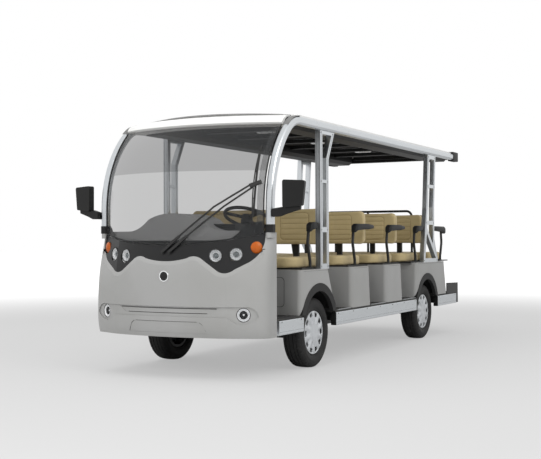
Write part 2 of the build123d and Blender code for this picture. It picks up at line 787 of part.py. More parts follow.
# Seats: armrest station of each forward facing row, counted from the front axle
ROWS = [-25, MIDDLE - 445, MIDDLE + 400, WHEELBASE - 170]
REAR_ROW = WHEELBASE + 700
REAR_ARM = WHEELBASE + 660
CUSHION_FRONT = -220
CUSHION_REAR = 280
BACK_FRONT = 345
CUSHION_NOSE = 105


def seat_row(name, station, facing):
    """Cushion and backrest of one bench, as two solids; facing is 1 towards the front."""
    with BuildPart() as row:
        near = at(station + facing * CUSHION_FRONT)
        far = at(station + facing * CUSHION_REAR)
        with BuildSketch(Plane.XY.offset(CUSHION_BOTTOM)) as cushion:
            with Locations((0, (near + far) / 2)):
                Rectangle(2 * BACK_HALF, abs(far - near))
            fillet(cushion.vertices().filter_by_position(Axis.Y, near - 1, near + 1), CUSHION_NOSE)
            fillet(cushion.vertices().filter_by_position(Axis.Y, far - 1, far + 1), 40)
        extrude(amount=CUSHION_TOP - CUSHION_BOTTOM)
        face_y = at(station + facing * BACK_FRONT)
        rear_y = at(station + facing * (BACK_FRONT + BACK_DEPTH))
        with BuildSketch(Plane.XZ.offset(-max(face_y, rear_y))):
            with Locations((0, (BACK_BOTTOM + BACK_TOP) / 2)):
                RectangleRounded(2 * BACK_HALF, BACK_TOP - BACK_BOTTOM, 55)
        extrude(amount=BACK_DEPTH)
    row.part.label = name
    return row


seat_rows = [seat_row(f"seat_row_{i + 1}", station, 1) for i, station in enumerate(ROWS)]
seat_rows.append(seat_row("seat_row_5", REAR_ROW, -1))

POST = 26
POST_TOP = 1180
REAR_BACK = REAR_ROW - BACK_FRONT - BACK_DEPTH

# Frame of each bench: board on the seat box, two arms to the rear and posts behind the backrest
with BuildPart() as seat_supports:
    for i, station in enumerate(ROWS):
        back = station + BACK_FRONT + BACK_DEPTH + SEAT_GAP
        post = POST if i < 3 else REAR_BACK - SEAT_GAP - back
        with BuildSketch(Plane.XY.offset(BOX_TOP + SEAT_GAP)):
            with Locations((0, at(station + (CUSHION_FRONT + CUSHION_REAR) / 2 + 10))):
                Rectangle(2 * BOARD_HALF, CUSHION_REAR - CUSHION_FRONT - 40)
            for x in (-370, 370):
                with Locations((x, at((station + CUSHION_REAR - 10 + back + post) / 2))):
                    Rectangle(50, back + post - station - CUSHION_REAR + 10)
        extrude(amount=BOARD)
        with BuildSketch(Plane.XY.offset(BOX_TOP + SEAT_GAP)):
            for x in (-370, 370):
                with Locations((x, at(back + post / 2))):
                    Rectangle(50, post)
        extrude(amount=POST_TOP - BOX_TOP)
    with BuildSketch(Plane.XY.offset(BOX_TOP + SEAT_GAP)):
        with Locations((0, at(REAR_ROW - (CUSHION_FRONT + CUSHION_REAR) / 2 - 10))):
            Rectangle(2 * BOARD_HALF, CUSHION_REAR - CUSHION_FRONT - 40)
    extrude(amount=BOARD)
seat_supports.part.label = "seat_supports"

# Armrests: bowed tube under a pad that ends clear of the ladder pillars
ARMREST_X = 702
ARM_FOOT = BOX_TOP + BOARD + 2 * SEAT_GAP
PAD_IN = 688
PAD_WIDTH = 66

# Station of the tube's foot, the way the seat faces, and where the pad ends behind the foot
ARMRESTS = [
    (ROWS[0], 1, 62),
    (ROWS[1], 1, 370),
    (ROWS[2], 1, 370),
    (ROWS[3], 1, 126),
    (REAR_ARM, -1, 375),
]


def armrest(station, facing, end):
    with BuildPart() as arm:
        for hand in (1, -1):
            with BuildLine(Plane.YZ.offset(hand * ARMREST_X)) as stem:
                FilletPolyline(
                    (at(station), ARM_FOOT), (at(station), 860), (at(station - facing * 48), 1010),
                    (at(station - facing * 25), 1140), radius=90,
                )
            with BuildSketch(Plane.XY.offset(ARM_FOOT)):
                with Locations((hand * ARMREST_X, at(station))):
                    Circle(13)
            sweep(path=stem.line)
            with BuildSketch(Plane.YZ.offset(hand * (PAD_IN + PAD_WIDTH / 2) - PAD_WIDTH / 2)):
                with BuildLine():
                    a, b, c, d = (at(station + facing * y) for y in (-70, -10, min(end, 240), end))
                    ThreePointArc((a, 1122), (at(station - facing * 58), 1168), (b, 1186))
                    Polyline((b, 1186), (c, 1188), (d, 1176), (d, 1146), (c, 1134), (b, 1134), (a, 1122))
                make_face()
            extrude(amount=PAD_WIDTH)
    return arm.part


with BuildPart() as armrests:
    for station, facing, end in ARMRESTS:
        add(armrest(station, facing, end))
armrests.part.label = "armrests"

with BuildPart() as rear_handrail:
    rail_y = at(WHEELBASE + 266)
    with BuildLine() as rail_line:
        FilletPolyline(
            (-510, rail_y, BOX_TOP), (-510, rail_y, 1352), (510, rail_y, 1352), (510, rail_y, BOX_TOP), radius=60
        )
    with BuildSketch(Plane.XY.offset(BOX_TOP)):
        with Locations((-510, rail_y)):
            Circle(12.5)
    sweep(path=rail_line.line)
    with BuildSketch(Plane.XY.offset(BOX_TOP)):
        with Locations((0, rail_y)):
            Circle(12.5)
    extrude(amount=1352 - BOX_TOP)
rear_handrail.part.label = "rear_handrail"

# Dashboard inside the cowl
with BuildPart() as dashboard:
    with BuildSketch(Plane.XZ.offset(-at(-700))):
        with BuildLine():
            Polyline((-380, 1112), (-715, 1112), (-715, 1040), (715, 1040), (715, 1112), (430, 1112))
            ThreePointArc((-380, 1112), (-260, 1150), (-190, 1200))
            ThreePointArc((-190, 1200), (30, 1246), (250, 1200))
            ThreePointArc((250, 1200), (330, 1140), (430, 1112))
        make_face()
    extrude(amount=400)
    with BuildSketch(Plane.XY.offset(1000)):
        with BuildLine():
            nose, _, turn, mid, side = bow_points(at(-1060), 1180, 60, 712, 0)
            ThreePointArc((-turn[0], turn[1]), nose, turn)
            for hand in (1, -1):
                ThreePointArc((hand * turn[0], turn[1]), (hand * mid[0], mid[1]), (hand * side[0], side[1]))
                Line((hand * side[0], side[1]), (hand * side[0], at(-700)))
            Line((-side[0], at(-700)), (side[0], at(-700)))
        make_face()
    extrude(amount=300, mode=Mode.INTERSECT)
    with BuildSketch(Plane.XY.offset(905)):
        with Locations((0, at(-772))):
            Rectangle(2 * (HALF_WIDTH - COWL_WALL - SEAT_GAP), 14)
    extrude(amount=1045 - 905)
dashboard.part.label = "dashboard"

# Steering column and wheel
COLUMN_AXIS = (0, -sin(radians(COLUMN_TILT)), -cos(radians(COLUMN_TILT)))
COLUMN_PLANE = Plane(origin=(STEER_X, STEER_Y, STEER_Z), x_dir=(1, 0, 0), z_dir=COLUMN_AXIS)

with BuildPart() as steering_column:
    with BuildSketch(COLUMN_PLANE.offset(54.5)):
        Circle(COLUMN_RADIUS)
    extrude(amount=830)
    with BuildSketch(Plane.XY.offset(FLOOR - 200)):
        Rectangle(2000, 6000)
    extrude(amount=200, mode=Mode.SUBTRACT)
steering_column.part.label = "steering_column"

with BuildPart() as steering_wheel:
    with BuildSketch(Plane(origin=COLUMN_PLANE.origin, x_dir=(1, 0, 0), z_dir=COLUMN_PLANE.y_dir)):
        with Locations((STEER_RADIUS - STEER_TUBE, 0)):
            Circle(STEER_TUBE)
    revolve(axis=Axis(COLUMN_PLANE.origin, COLUMN_PLANE.z_dir))
    with BuildSketch(COLUMN_PLANE.offset(-15)):
        Circle(42)
    extrude(amount=69)
    with BuildSketch(COLUMN_PLANE.offset(-6)):
        with PolarLocations((STEER_RADIUS - STEER_TUBE) / 2, 3, start_angle=30):
            Rectangle(STEER_RADIUS - STEER_TUBE, 34)
    extrude(amount=14)
steering_wheel.part.label = "steering_wheel"

# Mirrors on arms from the hoops, their heads swept back
MIRROR_SWEEP = radians(12.5)
MIRROR_X = 948
MIRROR_Y = -812
MIRROR_DEPTH = 52
MIRROR_OUTLINE = [(-83, 1278), (68, 1293), (87, 1478), (-84, 1486)]
MIRROR_ARM = [
    (HOOP_X + HOOP_WIDTH / 2 + SEAT_GAP, 1213), (HOOP_X + HOOP_WIDTH / 2 + SEAT_GAP, 1263), (870, 1290),
    (990, 1304), (984, 1280), (880, 1250), (830, 1216),
]

with BuildPart() as mirrors:
    for hand in (1, -1):
        out = Vector(cos(MIRROR_SWEEP), hand * sin(MIRROR_SWEEP), 0)
        forward = Vector(hand * sin(MIRROR_SWEEP), -cos(MIRROR_SWEEP), 0)
        with BuildSketch(Plane(origin=(hand * MIRROR_X, at(MIRROR_Y), 0), x_dir=out, z_dir=forward)) as head:
            with BuildLine():
                Polyline([(hand * x, z) for x, z in MIRROR_OUTLINE], close=True)
            make_face()
            fillet(head.vertices(), 16)
        extrude(amount=MIRROR_DEPTH)
        with BuildSketch(Plane.XZ.offset(-at(-806))):
            with BuildLine():
                Polyline([(hand * x, z) for x, z in MIRROR_ARM], close=True)
            make_face()
        extrude(amount=36)
mirrors.part.label = "mirrors"

# Wiper parked across the glass
with BuildPart() as wiper:
    with BuildSketch(Plane.XZ.offset(-at(-1099.2))):
        with Locations((-23, 947), (37, 947)):
            Circle(14)
    extrude(amount=10)
wiper.part.label = "wiper"

# Axles on leaf springs under the rails
AXLE_TUBE = 32
SPRING_LENGTH = 760
SPRING_WIDTH = 60
SPRING_DEPTH = RAIL_BOTTOM - TYRE_RADIUS - AXLE_TUBE - 2 * SEAT_GAP


def springs(y, seat):
    """Leaf spring under each rail and the pad between it and the axle, whose top is at seat."""
    with BuildPart() as pair:
        top = RAIL_BOTTOM - SEAT_GAP
        for hand in (1, -1):
            with BuildSketch(Plane.XY.offset(top - SPRING_DEPTH)):
                with Locations((hand * RAIL_X, y)):
                    Rectangle(SPRING_WIDTH, SPRING_LENGTH)
            extrude(amount=SPRING_DEPTH)
            if top - SPRING_DEPTH - seat > 1:
                with BuildSketch(Plane.XY.offset(seat + SEAT_GAP)):
                    with Locations((hand * RAIL_X, y)):
                        Rectangle(SPRING_WIDTH, 80)
                extrude(amount=top - SPRING_DEPTH - seat - 2 * SEAT_GAP)
    return pair.part


with BuildPart() as front_axle:
    with BuildSketch(Plane.YZ.offset(-KINGPIN_X + 40)):
        with Locations((AXLE_F, 262)):
            RectangleRounded(50, 60, 10)
    extrude(amount=2 * (KINGPIN_X - 40))
    with BuildSketch(Plane.YZ.offset(-KINGPIN_X)):
        with Locations((AXLE_F, 271)):
            Rectangle(36, 42)
    extrude(amount=2 * KINGPIN_X)
    for hand in (1, -1):
        with BuildSketch(Plane.XY.offset(TYRE_RADIUS - BOSS_HALF)):
            with Locations((hand * KINGPIN_X, AXLE_F)):
                Circle(BOSS_RADIUS)
        extrude(amount=2 * BOSS_HALF)
        with BuildSketch(Plane.XY.offset(TYRE_RADIUS - BOSS_HALF - EAR)):
            with Locations((hand * KINGPIN_X, AXLE_F)):
                Circle(KINGPIN_RADIUS)
        extrude(amount=2 * (BOSS_HALF + EAR))
    add(springs(AXLE_F, 292))
front_axle.part.label = "front_axle"

with BuildPart() as rear_axle:
    with BuildSketch(Plane.YZ.offset(-610)):
        with Locations((AXLE_R, TYRE_RADIUS)):
            Circle(AXLE_TUBE)
    extrude(amount=1220)
    with BuildSketch(Plane.YZ.offset(-670)):
        with Locations((AXLE_R, TYRE_RADIUS)):
            Circle(STUB_RADIUS)
    extrude(amount=1340)
    with BuildSketch(Plane.YZ.offset(-110)):
        with Locations((AXLE_R, TYRE_RADIUS)):
            Circle(105)
    extrude(amount=200)
    add(springs(AXLE_R, TYRE_RADIUS + AXLE_TUBE))
rear_axle.part.label = "rear_axle"


def knuckle(hand):
    with BuildPart() as carrier:
        low = TYRE_RADIUS - BOSS_HALF - EAR
        with BuildSketch(Plane.YZ.offset(hand * (KINGPIN_X + BOSS_RADIUS + 6))):
            with Locations((AXLE_F, TYRE_RADIUS)):
                RectangleRounded(60, 2 * (BOSS_HALF + EAR), 10)
        extrude(amount=hand * 16)
        for z in (low, TYRE_RADIUS + BOSS_HALF + SEAT_GAP):
            with BuildSketch(Plane.XY.offset(z)):
                with Locations((hand * (KINGPIN_X + 13), AXLE_F)):
                    Rectangle(62, 44)
                with Locations((hand * KINGPIN_X, AXLE_F)):
                    Circle(KINGPIN_RADIUS + STUB_CLEARANCE, mode=Mode.SUBTRACT)
            extrude(amount=EAR - SEAT_GAP)
        with BuildSketch(Plane.YZ.offset(hand * (KINGPIN_X + BOSS_RADIUS + 20))):
            with Locations((AXLE_F, TYRE_RADIUS)):
                Circle(STUB_RADIUS)
        extrude(amount=hand * 50)
    return carrier


knuckles = []
for name, hand in (("knuckle_left", 1), ("knuckle_right", -1)):
    carrier = knuckle(hand)
    carrier.part.label = name
    knuckles.append(carrier)

# Wheels: name, side, axle station
WHEELS = [
    ("front_left", 1, AXLE_F),
    ("front_right", -1, AXLE_F),
    ("rear_left", 1, AXLE_R),
    ("rear_right", -1, AXLE_R),
]


def wheel_axis(hand, y):
    return Axis((hand * WHEEL_X, y, TYRE_RADIUS), (1, 0, 0))


def wheel_plane(hand, y):
    """Section plane of a wheel: outboard offset, then radius."""
    return Plane(origin=(hand * WHEEL_X, y, TYRE_RADIUS), x_dir=(hand, 0, 0), z_dir=(0, -hand, 0))


def tyre(hand, y):
    half = TYRE_WIDTH / 2
    with BuildPart() as body:
        with BuildSketch(wheel_plane(hand, y)):
            with BuildLine():
                for side in (1, -1):
                    Line((side * 46, RIM_RADIUS + SEAT_GAP), (side * 61, RIM_RADIUS + SEAT_GAP))
                    Line((side * 61, RIM_RADIUS + SEAT_GAP), (side * 61, RIM_LIP + 1))
                    ThreePointArc((side * 61, RIM_LIP + 1), (side * half, 226), (side * 76, 268))
                    Line((side * 76, 268), (side * 62, 281))
                    ThreePointArc((side * 46, RIM_RADIUS + SEAT_GAP), (side * 74, 224), (side * 60, 266))
                ThreePointArc((-62, 281), (0, TYRE_RADIUS), (62, 281))
                Line((-60, 266), (60, 266))
            make_face()
        revolve(axis=wheel_axis(hand, y))
    return body


def wheel(hand, y):
    with BuildPart() as body:
        with BuildSketch(wheel_plane(hand, y)):
            with BuildLine():
                Polyline(
                    (-RIM_HALF - 5, RIM_LIP), (-RIM_HALF, RIM_LIP), (-RIM_HALF, RIM_RADIUS), (RIM_HALF, RIM_RADIUS),
                    (RIM_HALF, RIM_LIP), (RIM_HALF + 5, RIM_LIP), (RIM_HALF + 5, RIM_RADIUS - 6), (36, RIM_RADIUS - 6),
                    (36, 120), (26, HUB_RADIUS), (40, HUB_RADIUS), (40, STUB_RADIUS + STUB_CLEARANCE),
                    (8, STUB_RADIUS + STUB_CLEARANCE), (8, HUB_RADIUS), (18, HUB_RADIUS), (28, 120),
                    (28, RIM_RADIUS - 6), (-RIM_HALF - 5, RIM_RADIUS - 6), (-RIM_HALF - 5, RIM_LIP),
                )
            make_face()
        revolve(axis=wheel_axis(hand, y))
        with BuildSketch(wheel_plane(hand, y)):
            with BuildLine():
                Line((78, 0), (74, 0))
                ThreePointArc((74, 0), (73, 90), (RIM_HALF + 5, RIM_LIP - 6))
                Line((RIM_HALF + 5, RIM_LIP - 6), (RIM_HALF + 8, RIM_LIP))
                ThreePointArc((RIM_HALF + 8, RIM_LIP), (77, 90), (78, 0))
            make_face()
        revolve(axis=wheel_axis(hand, y))
        rim_face = (hand * (WHEEL_X + RIM_HALF + 5.1), y, TYRE_RADIUS)
        cover_plane = Plane(origin=rim_face, x_dir=(0, 1, 0), z_dir=(hand, 0, 0))
        with BuildSketch(cover_plane):
            with PolarLocations(COVER_RING, COVER_HOLES):
                Ellipse(17, 24)
        extrude(amount=30, mode=Mode.SUBTRACT)
    return body


tyres = []
wheels = []
for name, hand, y in WHEELS:
    rubber = tyre(hand, y)
    rubber.part.label = "tyre_" + name
    tyres.append(rubber)
    disc = wheel(hand, y)
    disc.part.label = "wheel_" + name
    wheels.append(disc)

PIECES = [
    chassis_frame, cross_members, floor_deck, sill_panels, front_cowl, lamp_mask, headlamps, headlamp_lenses,
    turn_lamps, fog_lamps, emblem_disc, windshield, roof_hoops, pillar_collars, roof_brow, roof_panel, roof_slabs,
    roof_beams, roof_rear_cap,
    curtain_housings, b_pillars, rear_pillars, wheel_houses, seat_supports, armrests, rear_handrail,
    dashboard, steering_column, steering_wheel, mirrors, wiper, rear_step, tail_lamps, front_axle, rear_axle,
    battery_pack,
]
for piece in PIECES + seat_boxes + seat_rows + knuckles + tyres + wheels:
    export_step(piece.part, f"parts/{piece.part.label}.step")
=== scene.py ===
"""Open-sided electric shuttle bus: seats, wheels, lamps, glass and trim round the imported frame.

All lengths are metres in the frame of the CAD model: front towards -Y, the vehicle's left
side towards +X, wheels on z = 0. Stations "from the front axle" go through at().
"""

import json
from math import atan2, cos, hypot, pi, radians, sin, sqrt

import bmesh
import bpy
from mathutils import Matrix, Vector
from mathutils.bvhtree import BVHTree


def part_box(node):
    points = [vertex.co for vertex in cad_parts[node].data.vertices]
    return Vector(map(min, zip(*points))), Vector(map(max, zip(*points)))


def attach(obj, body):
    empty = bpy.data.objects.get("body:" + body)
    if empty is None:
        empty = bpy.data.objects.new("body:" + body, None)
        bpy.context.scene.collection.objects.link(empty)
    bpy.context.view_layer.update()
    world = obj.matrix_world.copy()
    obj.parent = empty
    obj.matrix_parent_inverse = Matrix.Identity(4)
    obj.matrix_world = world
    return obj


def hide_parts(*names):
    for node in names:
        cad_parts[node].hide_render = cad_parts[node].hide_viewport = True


bl_info = {
    "name": "Shuttle bus finishing",
    "version": (1, 0, 0),
    "blender": (4, 5, 0),
    "location": "View3D > Sidebar > Shuttle bus",
    "description": "Dresses the frame of an open-sided shuttle bus with seats, wheels, lamps and trim",
    "category": "Object",
}

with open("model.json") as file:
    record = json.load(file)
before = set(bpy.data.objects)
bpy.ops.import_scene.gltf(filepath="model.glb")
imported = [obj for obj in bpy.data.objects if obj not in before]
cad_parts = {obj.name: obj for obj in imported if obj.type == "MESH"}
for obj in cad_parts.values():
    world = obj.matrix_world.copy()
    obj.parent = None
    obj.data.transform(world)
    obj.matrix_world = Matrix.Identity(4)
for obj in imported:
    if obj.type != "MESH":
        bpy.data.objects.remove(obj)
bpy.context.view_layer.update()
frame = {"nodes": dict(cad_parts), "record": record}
BODY = "chassis"
AXLE_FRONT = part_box("wheel_front_left")[0].y / 2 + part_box("wheel_front_left")[1].y / 2
HANDS = (1, -1)
MM = 0.001
# gap that keeps a piece of this script inside the box of its CAD part
CLOSE = 0.0003
ACROSS, BACK, UP = Vector((1, 0, 0)), Vector((0, 1, 0)), Vector((0, 0, 1))


def at(y):
    """Lengthwise place of a station counted from the front axle."""
    return AXLE_FRONT + y


# Colours and nodes


def linear(code):
    """sRGB hex colour as linear RGBA."""
    parts = [int(code[i:i + 2], 16) / 255 for i in (1, 3, 5)]
    return [c / 12.92 if c <= 0.04045 else ((c + 0.055) / 1.055) ** 2.4 for c in parts] + [1.0]


def add_node(tree, kind, inputs=(), **settings):
    """Add one node, with its settings, and set or link its inputs."""
    made = tree.nodes.new("ShaderNode" + kind)
    for name, value in settings.items():
        setattr(made, name, value)
    for name, value in dict(inputs).items():
        if isinstance(value, bpy.types.NodeSocket):
            tree.links.new(value, made.inputs[name])
        else:
            made.inputs[name].default_value = value
    return made


class Finish:
    """Named material in the making, with its constants on the shader's own sockets."""

    def __init__(self, name, colour, **sockets):
        self.material = bpy.data.materials.new(name)
        self.material.use_nodes = True
        self.colour = self.material.diffuse_color = linear(colour)
        self.tree = self.material.node_tree
        self.shader = self.tree.nodes["Principled BSDF"]
        self.shader.inputs["Base Color"].default_value = self.colour
        for socket, value in sockets.items():
            self.shader.inputs[socket.replace("_", " ")].default_value = value
        self.place = self.node("TexCoord").outputs["Object"]

    def node(self, kind, inputs=(), **settings):
        return add_node(self.tree, kind, inputs, **settings)

    def drive(self, socket, node, output=0):
        """Link an output of a node to a socket of the shader."""
        self.tree.links.new(node.outputs[output], self.shader.inputs[socket])
        return node

    def pattern(self, kind, size, inputs=(), **settings):
        """Texture in object space, by the size of its cells."""
        return self.node("Tex" + kind, {"Vector": self.place, "Scale": 1 / size, **dict(inputs)}, **settings)

    def vary(self, second, size, detail=3.0, low=0.35, high=0.65):
        """Mix the base colour with a second one in soft patches of a given size."""
        patches = self.pattern("Noise", size, {"Detail": detail})
        share = self.node("MapRange", {"Value": patches.outputs[0], "From Min": low, "From Max": high})
        mixed = self.node("Mix", {0: share.outputs[0], 6: self.colour, 7: linear(second)}, data_type="RGBA")
        return self.drive("Base Color", mixed, 2)

    def roughen(self, size, low, high, stretch=(1, 1, 1)):
        """Roughness that wanders between two values."""
        scaled = self.node("Mapping", {"Vector": self.place, "Scale": stretch})
        streaks = self.pattern("Noise", size, {"Vector": scaled.outputs[0], "Detail": 4.0})
        spread = self.node("MapRange", {"Value": streaks.outputs[0], "To Min": low, "To Max": high})
        self.drive("Roughness", spread)
        return streaks

    def emboss(self, height, strength, depth):
        """Bump from the first output of a texture."""
        bump = self.node("Bump", {"Height": height.outputs[0], "Strength": strength, "Distance": depth})
        self.drive("Normal", bump)

    def ribs(self, pitch, axis, strength, depth):
        """Bump of parallel ribs."""
        waves = self.pattern("Wave", 20 * pitch / (2 * pi), {"Distortion": 0.0}, bands_direction=axis)
        self.emboss(waves, strength, depth)


def sprayed_grp(name, colour, worn, gloss):
    # Glass-fibre moulding sprayed with two-pack paint: an even satin skin with faint orange peel.
    # The peel is 3 mm on the real one and is drawn at 14 mm so that it shows in the render.
    skin = Finish(name, colour, Roughness=gloss, Coat_Weight=0.25, Coat_Roughness=0.2)
    skin.vary(worn, 0.45)
    skin.roughen(0.12, gloss - 0.05, gloss + 0.07)
    skin.emboss(skin.pattern("Noise", 14 * MM, {"Detail": 1.0}), 0.05, 1 * MM)
    return skin.material


def anodised_aluminium(name, colour, along):
    # Extruded aluminium, anodised: a silky metal with faint drawing lines along its length.
    # The lines are 0.3 mm apart on the real one and are drawn at 4 mm.
    skin = Finish(name, colour, Metallic=1.0, Roughness=0.29)
    streaks = skin.roughen(4 * MM, 0.24, 0.34, [0.03 if axis == along else 1.0 for axis in "xyz"])
    skin.emboss(streaks, 0.04, 0.5 * MM)
    return skin.material


def moulded_abs(name, colour, second, rough, grain, strength=0.25):
    # Injection-moulded ABS with a sparked grain: low gloss and a fine pebble.
    # The pebble is 0.8 mm on the real one and is drawn at the size that grain gives.
    skin = Finish(name, colour, Roughness=rough, Specular_IOR_Level=0.35)
    skin.vary(second, 0.18)
    skin.emboss(skin.pattern("Voronoi", grain), strength, 0.6 * MM)
    return skin.material


def gloss_acrylic(name, colour, second):
    # Back-painted acrylic and gloss ABS: a deep black skin with a clear top that mirrors the studio.
    skin = Finish(name, colour, Roughness=0.4, Specular_IOR_Level=0.4, Coat_Weight=0.12, Coat_Roughness=0.12)
    skin.vary(second, 0.30)
    skin.roughen(0.05, 0.36, 0.46)
    return skin.material


def powder_coated_steel(name, colour, second):
    # Steel blasted and powder coated: semi-matt with a light texture and road dust in the hollows.
    # The texture is 1 mm on the real one and is drawn at 5 mm.
    skin = Finish(name, colour, Roughness=0.5)
    skin.vary(second, 0.09, 5.0)
    skin.emboss(skin.pattern("Noise", 5 * MM, {"Detail": 2.0}), 0.2, 0.8 * MM)
    return skin.material


def ribbed_rubber(name, colour, second, axis):
    # Calendered rubber matting with fine ribs, scuffed lighter where feet go.
    # The ribs are 3 mm apart on the real one and are drawn at 12 mm.
    skin = Finish(name, colour, Roughness=0.72)
    skin.vary(second, 0.22, 5.0)
    skin.ribs(12 * MM, axis, 0.5, 2 * MM)
    return skin.material


def leathercloth(name, colour, second):
    # PVC leathercloth over foam: soft sheen, pressed hide grain darkened along its creases as painted shade,
    # and slightly paler where it is rubbed.
    # The hide grain is 1.5 mm on the real one and is drawn at 5 mm.
    skin = Finish(
        name, colour, Roughness=0.55, Sheen_Weight=0.15, Sheen_Roughness=0.4, Specular_IOR_Level=0.35)
    mixed = skin.vary(second, 0.16, 4.0, 0.3, 0.7)
    grain = skin.pattern("Voronoi", 5 * MM, {"Randomness": 0.9}, feature="DISTANCE_TO_EDGE")
    # the grain's edge lines darken the colour to nine tenths: painted shade in the creases of the grain
    shade = skin.node(
        "MapRange", {"Value": grain.outputs[0], "From Max": 0.12, "To Min": 0.90, "To Max": 1.0})
    shaded = skin.node(
        "Mix", {0: 1.0, 6: mixed.outputs[2], 7: shade.outputs[0]}, data_type="RGBA", blend_type="MULTIPLY")
    skin.drive("Base Color", shaded, 2)
    skin.emboss(grain, 0.25, 0.8 * MM)
    return skin.material


def tyre_rubber(name, colour, dusty):
    # Vulcanised carbon-black rubber: dull, with pale dust in the tread and on the shoulders.
    skin = Finish(name, colour, Roughness=0.68, Specular_IOR_Level=0.4)
    skin.vary(dusty, 0.07, 5.0, 0.42, 0.75)
    skin.emboss(skin.pattern("Noise", 4 * MM, {"Detail": 3.0}), 0.15, 0.6 * MM)
    return skin.material


def lacquered_silver(name, colour, second):
    # Wheel cover moulded in ABS and sprayed with fine metallic silver under lacquer.
    skin = Finish(name, colour, Metallic=0.35, Roughness=0.38, Coat_Weight=0.3, Coat_Roughness=0.15)
    skin.vary(second, 0.05)
    return skin.material


def chrome_plate(name, colour, metal, rough):
    # Bright metal over moulded plastic, slightly hazed by washing; the hazier it is the more it scatters.
    skin = Finish(name, colour, Metallic=metal, Roughness=rough)
    skin.roughen(0.03, rough * 0.7, rough * 1.3)
    return skin.material


def zinc_plate(name, colour, second):
    # Zinc-plated fasteners: dull silver with cloudy passivation.
    skin = Finish(name, colour, Metallic=1.0, Roughness=0.42)
    skin.vary(second, 0.01)
    return skin.material


def clear_polycarbonate(name, colour, alpha):
    # Moulded polycarbonate lens: nearly clear, glossy, with faint flow haze.
    skin = Finish(name, colour, Roughness=0.06, IOR=1.58, Alpha=alpha, Coat_Weight=0.6)
    skin.roughen(0.02, 0.04, 0.1)
    return skin.material


def tinted_lens(name, colour, second):
    # Moulded acrylic lamp lens, dyed right through, with ribs every 6 mm on its inner side.
    skin = Finish(name, colour, Roughness=0.3, Specular_IOR_Level=0.3, Coat_Weight=0.12, Coat_Roughness=0.06)
    skin.vary(second, 0.05)
    skin.ribs(6 * MM, "Z", 0.35, 1 * MM)
    return skin.material


def laminated_glass(name, clear, shade, clear_alpha, shade_alpha, band, top):
    # Laminated windshield: a grey body tint, and a darker interlayer band above the driver's eye line.
    skin = Finish(name, clear, Roughness=0.02, IOR=1.52, Specular_IOR_Level=0.28)
    height = skin.node("SeparateXYZ", {0: skin.place}).outputs[2]
    step = skin.node("MapRange", {"Value": height, "From Min": band, "From Max": top}).outputs[0]
    tint = skin.node("Mix", {0: step, 6: skin.colour, 7: linear(shade)}, data_type="RGBA")
    skin.drive("Base Color", tint, 2)
    skin.drive("Alpha", skin.node("MapRange", {"Value": step, "To Min": clear_alpha, "To Max": shade_alpha}))
    return skin.material


# Sizes and colours a user may change


def shade_of(name, description, default):
    return bpy.props.StringProperty(name=name, description=description, default=default)


def length_of(name, description, default):
    return bpy.props.FloatProperty(name=name, description=description, default=default, unit="LENGTH")


def level_of(name, description, default):
    return bpy.props.FloatProperty(name=name, description=description, default=default, min=0)


class BusColours(bpy.types.PropertyGroup):
    """Finish colours, as sRGB hex codes."""

    body: shade_of("Body", "Cowl and seat boxes", "#999998")
    roof: shade_of("Roof", "Brow and roof panel", "#E0E0DE")
    metal: shade_of("Aluminium", "Hoops, pillars and sills", "#DCE0E3")
    seats: shade_of("Seats", "Leathercloth", "#C4B286")
    amber: shade_of("Turn lamps", "Amber lens", "#A84E0C")


class SeatSizes(bpy.types.PropertyGroup):
    """Sizes of the sewn seats."""

    panel_width: length_of("Panel width", "Width of one sewn panel", 0.27)
    panel_pitch: length_of("Panel pitch", "Distance between panel centres", 0.39)
    panel_round: length_of("Panel corner", "Corner radius of a panel", 0.032)
    channels: bpy.props.IntProperty(
        name="Channels", description="Sewn lines across each panel", default=4, min=0, max=8)
    seam_depth: length_of("Seam depth", "How far a sewn line pulls in", 0.0035)
    voxel: length_of("Cloth grid", "Edge of the cells that the foam is remeshed to", 0.011)


class StageSizes(bpy.types.PropertyGroup):
    """Camera and light levels."""

    focal: level_of("Focal length", "Lens on a 36 mm sensor", 67.658)
    key: level_of("Key light", "Power of the side soft box, watts", 190.0)
    fill: level_of("Fill light", "Power of the front soft box, watts", 250.0)
    top: level_of("Top light", "Power of the overhead soft box, watts", 260.0)
    floor: level_of("Floor lift", "Light added to the floor in view", 0.42)
    shine: level_of("Studio shine", "White surround as mirrored by gloss", 0.85)
    sky: level_of("Studio white", "Strength of the white surround", 0.80)


GROUPS = (("bus_colours", BusColours), ("bus_seats", SeatSizes), ("bus_stage", StageSizes))
library = {}


